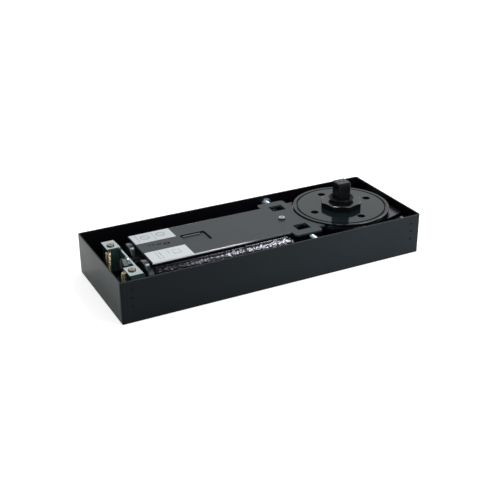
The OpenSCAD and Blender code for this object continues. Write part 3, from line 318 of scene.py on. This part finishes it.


# --------------------------------------------------------------------------------------
# Finishes
#
# Some carry a gradient or mask that is fixed to the part and stands for what the studio
# reflects. It isn't a difference in the coating. Its comment begins with "Reflection".
# Others carry painted shade or a painted highlight, and their comment says so.
# --------------------------------------------------------------------------------------

def case_paint():
    """Blue-black stoved paint on folded sheet, scuffed along the rim."""
    f = Finish("case_paint")
    blue_black, slate, faded = (0.0030, 0.0062, 0.0078), (0.0150, 0.0215, 0.0270), (0.0052, 0.0072, 0.0082)
    scuffed, inner_shade, green_black = (0.05, 0.052, 0.055), (0.0022, 0.0017, 0.0030), (0.001, 0.017, 0.014)
    cloud = f.noise(0.02, 3, 0.6)
    peel = f.noise(1.3, 2, 0.5)
    rim = f.ease(f.z, CASE_TOP - 1.2, CASE_TOP - 0.1) * f.ease(f.noise(0.35, 4, 0.7), 0.42, 0.62)
    # Reflection: paler towards the spindle
    base = f.tint(f.ease(f.x, CASE_LEFT, CASE_RIGHT), blue_black, slate)
    base = f.tint(cloud * 0.5, base, faded)
    base = f.tint(rim * 0.4, base, scuffed)
    # Painted shade: darker inside the case
    inside = (abs(f.x) < CASE_RIGHT - 0.5) * (abs(f.y) < CASE_REAR - 0.5) * (f.z < CASE_TOP - 0.3)
    base = f.tint(inside, base, inner_shade)
    # Reflection: glossier and greener on the far end wall, most of all at its rear
    far_end = f.x < CASE_LEFT + 0.6
    base = f.tint(far_end * 0.5, base, green_black)
    rear = f.ease(f.y, -10.0, 50.0) * (1.0 - 0.6 * f.ease(f.z, 30.0, 44.0))
    coat = far_end * (0.45 + 0.15 * rear + 0.08 * f.ease(f.z, 14.0, 30.0)) + 0.02
    return f.surface(Base_Color=base, Roughness=0.3 + 0.1 * cloud + 0.12 * rim, Specular_IOR_Level=0.12,
                     Coat_Weight=coat, Coat_Roughness=0.3, Normal=f.bump(peel, 0.02, 0.4), IOR=1.5)


def casting_paint():
    """Gloss black paint over rough cast iron, with painted shade on the machined faces beyond the spindle's axis
    and on the pocket floors.
    """
    f = Finish("casting_paint")
    black, dusty, violet_black = (0.0025, 0.0025, 0.0045), (0.008, 0.008, 0.0115), (0.0035, 0.0035, 0.0075)
    lumps = f.noise(0.9, 4, 0.6)
    pits = f.grains(1.4, "SMOOTH_F1")
    height = lumps * 0.7 + pits * 0.3
    dust = f.ease(f.noise(0.12, 4, 0.7), 0.55, 0.8)
    base = f.tint(dust, black, dusty)
    # Reflection: the tubes shine near the neck and darken towards the far end
    band = f.ease(f.x, -40.0, 20.0) * (f.x < TUBE_NEAR + 1.0)
    base = f.tint(band, base, violet_black)
    shaded = 0.78 * (1.0 - f.ease(f.x, TUBE_FAR - 5.0, -10.0))
    # Painted shade: dead black on the machined top faces beyond the spindle's axis, round the cap, and on the
    # pocket floors
    machined = 0.66 * (f.x > AXIS_X) * f.ease(f.z, DECK_Z - 1.2, DECK_Z - 0.3)
    pocket_shade = 0.92 * (abs(f.z - POCKET_Z) < 0.3) * (f.x > TUBE_NEAR)
    return f.surface(Base_Color=base, Roughness=0.19 + 0.1 * dust, Normal=f.bump(height, 0.2, 0.45),
                     Coat_Weight=0.3 * band, Coat_Roughness=0.2, Specular_IOR_Level=0.85,
                     Specular_Tint=(0.86, 0.86, 1.0), IOR=1.5,
                     dull=f.most(f.most(machined, pocket_shade), shaded))


def plate_paint():
    """Grey-green phosphated steel plate under oil, with a painted highlight on its long edges, painted shade along
    the walls of its shallow recess and a painted highlight on the recess's rib.
    """
    f = Finish("plate_paint")
    dark, pale, crystals = (0.012, 0.0185, 0.0225), (0.019, 0.0275, 0.0325), (0.034, 0.041, 0.043)
    bright_edge, rib_highlight = (0.86, 0.86, 0.94), (0.16, 0.16, 0.20)
    cloud = f.noise(0.035, 4, 0.6)
    crystal = f.grains(1.6)
    rolled = f.noise(0.9, 3, 0.6, at=f.stretch(0.06, 1, 1))
    base = f.tint(cloud, dark, pale)
    base = f.tint(crystal * 0.3, base, crystals)
    # Reflection: the long edges shine, and fade towards the neck
    edge = (f.ease(abs(f.y), PLATE_HW - 0.85, PLATE_HW - 0.6) * (f.x < 28.0)
            * (1.0 - 0.93 * f.ease(f.x, -45.0, -8.0)) * (f.z > PLATE_TOP - 1.3))
    base = f.tint(edge, base, bright_edge)
    window = f.most(abs(f.x - WINDOW_X) / WINDOW_HALF[0], abs(f.y - WINDOW_Y) / WINDOW_HALF[1])
    low = f.z < PLATE_TOP - 0.35
    # Painted highlight: a pale line on the rib along the recess's rear
    rib = (low * (f.z > PLATE_TOP - 0.75) * (abs(f.y - WINDOW_Y - 8.5) < 0.75) * (f.x < WINDOW_X + 8.6)
           * (f.x > WINDOW_X - 11.6))
    base = f.tint(rib, base, rib_highlight)
    shade = low * (window < 1.02) * f.ease(window, 0.86, 0.95) * (1.0 - rib)
    return f.surface(Base_Color=base, Roughness=0.36 + 0.1 * cloud + 0.06 * rolled - 0.12 * edge,
                     Metallic=0.6 * edge, Normal=f.bump(crystal * 0.5 + rolled * 0.5, 0.012, 0.6),
                     Specular_IOR_Level=0.38, IOR=1.5, dull=f.most(0.92 * stamped_marks(f), 0.9 * shade))


def stamped_marks(f):
    """Generic stamped figures between the two labels: two rings and two short strokes."""
    marks = 0.0
    for x, y, long, wide, line in STAMPED_RINGS:
        oval = f.reach((f.x - x) / long, (f.y - y) / wide)
        marks = f.most(marks, 1.0 - f.ease(abs(oval - 0.8), line * 0.6, line))
    for x, y in STAMPED_STROKES:
        stroke = f.most(abs(f.x - x) / 1.2, abs(f.y - y) / 1.7)
        marks = f.most(marks, 0.7 * (1.0 - f.ease(stroke, 0.75, 1.0)))
    return marks


def cap_paint():
    """Black gloss on the turned cap, with painted shade in and beside its groove, and a softer gloss on the tube
    plugs.
    """
    f = Finish("cap_paint")
    dark, pale, rim_glint = (0.0040, 0.0085, 0.0105), (0.0070, 0.0110, 0.0130), (0.24, 0.24, 0.28)
    cloud = f.noise(0.05, 3, 0.6)
    peel = f.noise(0.8, 1.5, 0.5)
    on_cap, on_plugs = f.x > 0.0, f.x < 0.0
    reach = f.reach(f.x - AXIS_X, f.y)
    # Painted shade: dead black in and beside the groove
    groove_shade = (f.z > CAP_TOP - 0.4) * (1.0 - f.ease(abs(reach - GROOVE_R), 0.75, 1.25))
    # Reflection: the rim glints at the front, and the side wall has nothing bright to mirror
    edge = (f.ease(reach, CAP_R - 0.75, CAP_R - 0.3) * (f.z > CAP_TOP - 1.0) * on_cap
            * f.ease(0.0 - f.y, 34.0, 48.0))
    wall = 0.85 * on_cap * f.upright(0.2, 0.5)
    base = f.tint(cloud, dark, pale)
    base = f.tint(edge * f.ease(f.noise(0.16, 2, 0.6), 0.3, 0.6), base, rim_glint)
    return f.surface(Base_Color=base, Roughness=0.08 + 0.05 * cloud + 0.12 * on_plugs,
                     Normal=f.bump(peel, 0.006, 0.5), Specular_IOR_Level=0.29,
                     Specular_Tint=(0.78, 0.97, 1.0), IOR=1.5, Coat_Weight=0.9 * on_plugs,
                     Coat_Roughness=0.2, dull=f.most(groove_shade, wall))


def blackened_steel():
    """Black oxide on machined steel, glossy under oil, with a painted highlight along the gland nut's upper edge.
    """
    f = Finish("blackened_steel")
    black, grey_black, nut_edge_glint = (0.0028, 0.0034, 0.0038), (0.0060, 0.0068, 0.0074), (0.075, 0.078, 0.088)
    cloud = f.noise(0.09, 4, 0.65)
    drawn = f.noise(1.2, 2, 0.5, at=f.stretch(1, 1, 0.05))
    spots = 0.0
    for x, y in SPINDLE_SPOTS:
        far = f.reach(f.x - AXIS_X - x, f.y - y)
        spots = f.most(spots, (f.z > SPINDLE_TOP - 0.2) * (1.0 - f.ease(far, 0.9, 1.5)))
    # Painted highlight: a pale line along the gland nut's rounded upper edge
    rounded = f.upright(0.90, 0.97) * (1.0 - f.upright(0.15, 0.35))
    edge = rounded * (f.z < NUT_TOP) * (f.z > NUT_TOP - 0.8)
    # Reflection: upright faces are dark, and darker on the nut and below it
    sides = f.upright(0.3, 0.7) * (0.4 + 0.45 * (f.z < NUT_TOP)) * (1.0 - edge)
    base = f.tint(edge, f.tint(cloud, black, grey_black), nut_edge_glint)
    return f.surface(Base_Color=base, Roughness=0.13 + 0.06 * cloud, Normal=f.bump(drawn, 0.003, 0.4),
                     Specular_IOR_Level=0.38, Specular_Tint=(0.80, 0.97, 1.0), IOR=1.5,
                     dull=f.most(spots, sides))


def zinc():
    """Zinc plating with a blue-green passivate."""
    f = Finish("zinc")
    grey, pale, spangled = (0.45, 0.53, 0.545), (0.61, 0.67, 0.68), (0.42, 0.50, 0.50)
    blue, pale_blue, film = (0.44, 0.54, 0.62), (0.60, 0.70, 0.78), (0.10, 0.13, 0.13)
    bottle_green, sea_green = (0.022, 0.085, 0.075), (0.16, 0.28, 0.27)
    cloud = f.noise(0.08, 4, 0.6)
    near, on_bracket = f.x > 0.0, f.x < BRACKET_END
    # Reflection: bluer and rougher near the spindle, dark green on the bracket's upright faces
    base = f.tint(near, f.tint(cloud, grey, pale), f.tint(cloud, blue, pale_blue))
    base = f.tint(f.ease(f.grains(0.35), 0.2, 0.9) * 0.3, base, spangled)
    upright = f.upright() * on_bracket * (1.0 - 0.7 * (abs(f.y) < BOLT_HALF))
    base = f.tint(upright, base, f.tint(cloud, bottle_green, sea_green))
    base = f.tint(0.22 * on_bracket * (1.0 - upright), base, film)
    sunk = near * (abs(f.y) < PLATE_HW - 2.0)        # the levelling screws, down in the plate's openings
    return f.surface(Base_Color=base, Metallic=0.95 - 0.35 * upright,
                     Roughness=0.12 + 0.12 * cloud + 0.2 * near + 0.25 * sunk,
                     Normal=f.bump(f.noise(0.7, 3, 0.6), 0.03, 0.6))


def yellow_zinc():
    """Yellow chromate on zinc, from pale gold to olive, with painted shade on the speed valve screws, which are
    also rougher.
    """
    f = Finish("yellow_zinc")
    olive, pale_gold, shade_tone = (0.50, 0.38, 0.20), (0.86, 0.78, 0.60), (0.20, 0.15, 0.08)
    cloud = f.noise(0.25, 3, 0.6)
    valve_screws = f.x > 0.0
    # Painted shade: darker on the speed valve screws down in their pockets
    base = f.tint(valve_screws * 0.6, f.tint(cloud, olive, pale_gold), shade_tone)
    return f.surface(Base_Color=base, Metallic=0.95, Roughness=0.14 + 0.1 * cloud + 0.36 * valve_screws,
                     Normal=f.bump(f.noise(2.0, 2, 0.5), 0.01, 0.5))


def nickel():
    """Nickel plate on the pan-head screws, warm grey, with painted shade in the recesses, round the heads, on the
    plate screw's sides and over the far corner screws.
    """
    f = Finish("nickel")
    warm, pale, shade_tone = (0.42, 0.37, 0.27), (0.62, 0.58, 0.48), (0.05, 0.05, 0.05)
    neutral, pale_neutral = (0.46, 0.47, 0.47), (0.56, 0.57, 0.56)
    cloud = f.noise(0.4, 3, 0.6)
    plate_screw = (f.x > 0.0) * (f.x < CAP_LEFT)
    base = f.tint(plate_screw, f.tint(cloud, warm, pale), f.tint(cloud, neutral, pale_neutral))
    # Painted shade: the far corner screws darker
    corner_screws = f.x > CAP_RIGHT - 6.0
    base = f.tint(corner_screws * 0.4, base, shade_tone)
    # Painted shade: dead black on the plate screw's sides, round the cover screws' heads and in their crossed
    # recesses
    screw_shade = plate_screw * f.upright(0.6, 0.92)
    cosine, sine = 0.94, 0.34                        # turn of the crossed recesses
    for x, y in POST_SCREWS:
        far = f.reach(f.x - x, f.y - y)
        screw_shade = f.most(screw_shade, f.ease(far, POST_HEAD - 1.5, POST_HEAD - 0.8) * (far < POST_HEAD + 0.3))
        slot = f.least(abs((f.x - x) * cosine + (f.y - y) * sine), abs((f.y - y) * cosine - (f.x - x) * sine))
        screw_shade = f.most(screw_shade, (far < POST_HEAD * 0.55) * (1.0 - f.ease(slot, 0.3, 0.65)))
    return f.surface(Base_Color=base, Metallic=0.9, Roughness=0.25 + 0.12 * cloud,
                     Normal=f.bump(f.noise(1.8, 2, 0.5), 0.008, 0.5), dull=0.85 * screw_shade)


def bright_steel():
    """Ground steel under a film of oil."""
    f = Finish("bright_steel")
    cloud = f.noise(0.1, 3, 0.6)
    ground = f.noise(3.0, 2, 0.5, at=f.stretch(1, 1, 0.08))
    base = f.tint(cloud, (0.36, 0.36, 0.37), (0.52, 0.52, 0.52))
    return f.surface(Base_Color=base, Metallic=1.0, Roughness=0.22 + 0.1 * cloud,
                     Normal=f.bump(ground, 0.006, 0.5))


def spring_steel():
    """Blued spring wire under oil."""
    f = Finish("spring_steel")
    cloud = f.noise(0.2, 3, 0.6)
    base = f.tint(cloud, (0.06, 0.075, 0.10), (0.13, 0.14, 0.16))
    return f.surface(Base_Color=base, Metallic=0.8, Roughness=0.25 + 0.12 * cloud,
                     Normal=f.bump(f.noise(1.5, 2, 0.5), 0.01, 0.5))


def bronze():
    """Turned bearing bronze."""
    f = Finish("bronze")
    cloud = f.noise(0.2, 3, 0.6)
    turned = f.noise(4.0, 2, 0.5, at=f.stretch(0.02, 0.02, 1))
    base = f.tint(cloud, (0.42, 0.26, 0.09), (0.56, 0.38, 0.16))
    return f.surface(Base_Color=base, Metallic=1.0, Roughness=0.25 + 0.12 * cloud,
                     Normal=f.bump(turned, 0.01, 0.5))


def rubber():
    """Black nitrile rubber."""
    f = Finish("rubber")
    cloud = f.noise(0.3, 3, 0.6)
    base = f.tint(cloud, (0.003, 0.003, 0.0035), (0.006, 0.006, 0.0065))
    return f.surface(Base_Color=base, Roughness=0.35 + 0.15 * cloud,
                     Normal=f.bump(f.noise(2.0, 2, 0.5), 0.01, 0.5), Specular_IOR_Level=0.2, IOR=1.5,
                     dull=0.55 * f.ease(f.noise(0.5, 2, 0.5), 0.3, 0.6))


def label_film():
    """White label film, the front one a little greyer, with faint grey marks that say nothing."""
    f = Finish("label_film")
    front, front_pale = (0.575, 0.61, 0.63), (0.62, 0.655, 0.675)
    rear, rear_pale = (0.505, 0.545, 0.570), (0.55, 0.59, 0.615)
    grey_ink = (0.22, 0.24, 0.27)
    cloud = f.noise(0.05, 3, 0.6)
    base = f.tint(f.y < 0.0, f.tint(cloud, rear, rear_pale), f.tint(cloud, front, front_pale))
    base = f.tint(printed_marks(f), base, grey_ink)
    return f.surface(Base_Color=base, Roughness=0.3 + 0.1 * cloud,
                     Normal=f.bump(f.noise(0.5, 2, 0.5), 0.01, 0.4), IOR=1.45)


def printed_marks(f):
    """Two barred rings, five broken rules and a square."""
    ink = 0.0
    cosine, sine = 0.8, 0.6                          # turn of the rings' bars
    for x, y in PRINTED_RINGS:
        ink = f.most(ink, 1.0 - f.ease(abs(f.reach(f.x - x, f.y - y) - 4.6), 0.3, 0.75))
        bar = f.most(abs((f.x - x) * cosine + (f.y - y) * sine) / 0.5,
                     abs((f.y - y) * cosine - (f.x - x) * sine) / 3.4)
        ink = f.most(ink, 1.0 - f.ease(bar, 0.7, 1.1))
    broken = f.ease(f.noise(1.1, 2, 0.6, at=f.stretch(0.2, 1.4, 1)), 0.3, 0.55)
    for x, low, high in PRINTED_RULES:
        rule = f.most(abs(f.x - x) / 0.45, abs(f.y - (low + high) / 2) / ((high - low) / 2))
        ink = f.most(ink, broken * (1.0 - f.ease(rule, 0.8, 1.05)))
    x, y = PRINTED_SQUARE
    square = abs(f.most(abs(f.x - x) / 4.4, abs(f.y - y) / 5.0) - 0.85)
    return f.most(ink, (1.0 - f.ease(square, 0.04, 0.13)) * f.ease(f.noise(0.35, 1, 0.5), 0.4, 0.5))


FINISHES = (case_paint, casting_paint, plate_paint, cap_paint, blackened_steel, zinc, yellow_zinc, nickel,
            bright_steel, spring_steel, bronze, rubber, label_film)
MATERIALS = {finish.__name__: finish() for finish in FINISHES}


def dress_frame():
    """Gives each CAD node the finish of its slot."""
    for part in frame["record"]["subparts"]:
        node = frame["nodes"][part["node"]]
        node.data.materials.clear()
        node.data.materials.append(MATERIALS[part["material_slot"]])


# --------------------------------------------------------------------------------------
# Pieces: rough cast skins, threads, the spring and softened edges
# --------------------------------------------------------------------------------------

def grid_mesh(name, rows, closed=False):
    """An object through rows of points in millimetres; closed joins the ends of each row."""
    mesh = bpy.data.meshes.new(name)
    count = len(rows[0])
    points = [tuple(c * MM for c in point) for row in rows for point in row]
    faces = []
    for i in range(len(rows) - 1):
        for j in range(count if closed else count - 1):
            k = (j + 1) % count
            faces.append((i * count + j, i * count + k, (i + 1) * count + k, (i + 1) * count + j))
    mesh.from_pydata(points, [], faces)
    mesh.polygons.foreach_set("use_smooth", [True] * len(mesh.polygons))
    return link(bpy.data.objects.new(name, mesh))


def finish_piece(piece, body, slot, *nodes):
    """Gives a new piece its finish, its body and the CAD nodes that it stands for."""
    piece.data.materials.append(MATERIALS[slot])
    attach(piece, body)
    if nodes:
        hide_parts(*nodes)


def tube_outline(angle, thick):
    """Distance from a tube's axis to the casting's outside, at an angle from upright."""
    across, up = math.sin(angle), math.cos(angle)
    reach = TUBE_R[thick]
    dy, dz = SHOULDER_Y - TUBE_Y, SHOULDER_Z - TUBE_Z
    along = across * dy + up * dz
    inside = SHOULDER_R[thick] ** 2 - (dy * dy + dz * dz - along * along)
    if inside > 0:
        reach = max(reach, along + math.sqrt(inside))
    if up > 0.2:
        reach = max(reach, min((DECK_HW - TUBE_Y) / across, (DECK_Z - TUBE_Z) / up))
    return reach


def cast_skin(side):
    """Rough cast surface of one tube and its shoulder, a little proud of the plain solid."""
    length = TUBE_NEAR - TUBE_FAR - 2 * SKIN_INSET
    columns = round(length / SKIN_GRID)
    start, stop = (math.radians(degrees) for degrees in SKIN_ARC)
    steps = round(TUBE_R[0] * (stop - start) / SKIN_GRID)
    seed = Vector((0, 0, 40.0 * side))
    rows = []
    for i in range(columns + 1):
        x = TUBE_FAR + SKIN_INSET + i * length / columns
        thick = min(max((x - TUBE_STEP + STEP_LONG / 2) / STEP_LONG, 0.0), 1.0)
        notch = 0.3 * math.exp(-((x - TUBE_STEP + STEP_LONG) / 0.8) ** 2) * (1 - thick)
        at_end = min(1.0, (x - TUBE_FAR) / SKIN_FADE, (TUBE_NEAR - x) / SKIN_FADE)
        row = []
        for j in range(steps + 1):
            angle = start + (stop - start) * j / steps
            reach = tube_outline(angle, 0) * (1 - thick) + tube_outline(angle, 1) * thick
            if j < steps:
                place = Vector((x, reach * angle, 0))
                relief = SKIN_PROUD
                for height, scale in SKIN_LUMPS:
                    relief += height * noise.noise(place * scale + seed)
                relief = max(relief, SKIN_LEAST) * at_end * min(1.0, (steps - j) / 4)
                reach += relief - notch - 0.25 * (1 - at_end)
            else:
                reach -= 0.3              # the lowest row turns into the solid
            z = min(TUBE_Z + math.cos(angle) * reach, DECK_Z - 0.04)
            row.append((x, side * (TUBE_Y + math.sin(angle) * reach), z))
        rows.append(row if side < 0 else row[::-1])
    name = "cast_skin_front" if side < 0 else "cast_skin_rear"
    finish_piece(grid_mesh(name, rows), "closer", "casting_paint")


def ring(radius, z, flats=0.0):
    """Points round Z; with flats they lie on a hexagon that far across."""
    points = []
    for k in range(THREAD_TURNS):
        angle = 2 * math.pi * k / THREAD_TURNS
        reach = radius
        if flats:
            reach = flats / 2 / math.cos((angle + math.pi / 6) % (math.pi / 3) - math.pi / 6)
        points.append((reach * math.cos(angle), reach * math.sin(angle), z))
    return points


def threaded_rod(low, top, radius, socket=False):
    """Rows of points of a screw along Z with a helical thread and, if asked, a hexagon socket in its top."""
    depth, length = 0.55 * THREAD_PITCH, top - low - 0.7
    rows = [ring(0.01, low), ring(radius - depth, low)]
    count = round(length / (THREAD_PITCH / 8))
    for i in range(count + 1):
        z = low + 0.05 + length * i / count
        row = []
        for k in range(THREAD_TURNS):
            phase = (z / THREAD_PITCH - k / THREAD_TURNS) % 1.0
            reach = radius - depth * (0.5 + 0.5 * math.cos(2 * math.pi * phase)) ** 1.3
            angle = 2 * math.pi * k / THREAD_TURNS
            row.append((reach * math.cos(angle), reach * math.sin(angle), z))
        rows.append(row)
    rows += [ring(radius - 0.35, top - 0.5), ring(radius - 0.6, top - 0.04), ring(radius - 0.75, top)]
    if socket:
        floor_z = top - SOCKET_DEEP
        rows += [ring(0, top, SOCKET_ACROSS), ring(0, floor_z, SOCKET_ACROSS), ring(0.01, floor_z)]
    else:
        rows += [ring(0.01, top)]
    return rows


def joined(name, parts):
    """One object from several lists of rows."""
    made = [grid_mesh(name + "_part", rows, closed=True) for rows in parts]
    mesh = bmesh.new()
    for part in made:
        mesh.from_mesh(part.data)
        bpy.data.objects.remove(part)
    bmesh.ops.remove_doubles(mesh, verts=mesh.verts, dist=WELD_METRES)
    bmesh.ops.recalc_face_normals(mesh, faces=mesh.faces)
    data = bpy.data.meshes.new(name)
    mesh.to_mesh(data)
    mesh.free()
    data.shade_smooth()
    data.set_sharp_from_angle(angle=math.radians(50))
    return link(bpy.data.objects.new(name, data))


def height_bolts():
    """The two socket set screws that set the far end's height, with their threads."""
    low, high = (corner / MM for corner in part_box("height_bolts"))
    radius = (high.x - low.x) / 2
    parts = []
    for y, top in ((high.y - radius, high.z), (low.y + radius, high.z - HEIGHT_BOLT_STEP)):
        rows = threaded_rod(low.z, top, radius, socket=True)
        parts.append([[(x + low.x + radius, v + y, z) for x, v, z in row] for row in rows])
    finish_piece(joined("height_bolts_threaded", parts), "closer", "yellow_zinc", "height_bolts")


def lateral_screws():
    """The two set screws that stand against the long walls, with their threads."""
    low, high = (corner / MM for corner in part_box("lateral_screws"))
    radius = (high.x - low.x) / 2
    middle_x, middle_z = (low.x + high.x) / 2, (low.z + high.z) / 2
    parts = []
    for side in SIDES:
        rows = threaded_rod(LATERAL_NEAR, high.y, radius)
        parts.append([[(x + middle_x, side * z, v + middle_z) for x, v, z in row] for row in rows])
    finish_piece(joined("lateral_screws_threaded", parts), "closer", "zinc", "lateral_screws")


def closing_spring():
    """The coil spring, its own copy of the CAD node's mesh. The real spring shortens towards its fixed end as the
    carriage slides; this copy keeps its length.
    """
    node = frame["nodes"]["closing_spring"]
    coil = link(bpy.data.objects.new("closing_spring_coil", node.data.copy()))
    coil.data.materials.clear()
    low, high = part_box("closing_spring")
    slide = next(joint for joint in frame["joints"] if joint["name"] == "carriage_slide")
    travel = slide["range_m"][1]
    finish_piece(coil, "closer", "spring_steel", "closing_spring")
    1 - travel / (high.x - low.x)
    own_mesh(coil)


def soften_edges():
    """Small rounds on the edges of machined and pressed pieces, which catch the light."""
    for node, width in SOFTENED.items():
        piece = frame["nodes"][node]
        weld = piece.modifiers.new("weld", "WELD")
        weld.merge_threshold = 0.00001    # metres
        round_off = piece.modifiers.new("round", "BEVEL")
        round_off.width, round_off.segments = width * MM, 2
        round_off.limit_method, round_off.angle_limit = "ANGLE", math.radians(38)
        round_off.harden_normals = True


# --------------------------------------------------------------------------------------
# Floor and light, in metres and watts
# --------------------------------------------------------------------------------------

def floor():
    """A plain white floor that keeps the object's shadow."""
    f = Finish("floor_white")
    diffuse = f.node("BsdfDiffuse", None, {"Color": (0.9, 0.9, 0.9)})
    glow = f.node("Emission", None, {"Color": (1.0, 1.0, 1.0), "Strength": 0.6 * f.camera_rays()})
    f.end("Material", f.node("AddShader", None, {0: diffuse, 1: glow}))
    mesh = bpy.data.meshes.new("floor")
    corners = [(x * FLOOR_HALF, y * FLOOR_HALF, 0) for x, y in ((-1, -1), (1, -1), (1, 1), (-1, 1))]
    mesh.from_pydata(corners, [], [(0, 1, 2, 3)])
    mesh.materials.append(f.material)
    made = link(bpy.data.objects.new("floor", mesh))
    made.location.z = -FLOOR_DROP


def soft_box(name, place, target, width, height, power):
    """A rectangular studio light that looks at a point."""
    data = bpy.data.lights.new(name, "AREA")
    data.shape, data.size, data.size_y = "RECTANGLE", width, height
    data.energy = power
    made = link(bpy.data.objects.new(name, data))
    made.location = place
    made.rotation_euler = (Vector(target) - Vector(place)).to_track_quat("-Z", "Y").to_euler()


def light():
    """A soft surround, white at the horizon and dimmer overhead, with two soft boxes."""
    world = bpy.data.worlds.new("surround")
    bpy.context.scene.world = world
    world.use_nodes = True
    n = Nodes(world.node_tree)
    up = n.node("SeparateXYZ", values={0: n.node("TexCoord", out="Generated")}, out=2)
    strength = n.most(1.0 - 0.72 * n.ease(up, 0.55, 0.8), n.camera_rays())
    n.end("World", n.node("Background", None, {"Color": (1.0, 1.0, 1.0), "Strength": strength}))
    soft_box("overhead_box", place=(0.11, 0.13, 0.60), target=(-0.09, 0.0, 0.04),
             width=0.16, height=0.13, power=KEY_OVERHEAD)
    soft_box("front_box", place=(0.30, -0.46, 0.47), target=(0.03, -0.04, 0.04),
             width=0.22, height=0.15, power=KEY_FRONT)


camera()
dress_frame()
for side in SIDES:
    cast_skin(side)
height_bolts()
lateral_screws()
closing_spring()
soften_edges()
floor()
light()
bpy.context.scene.view_settings.view_transform = "Standard"
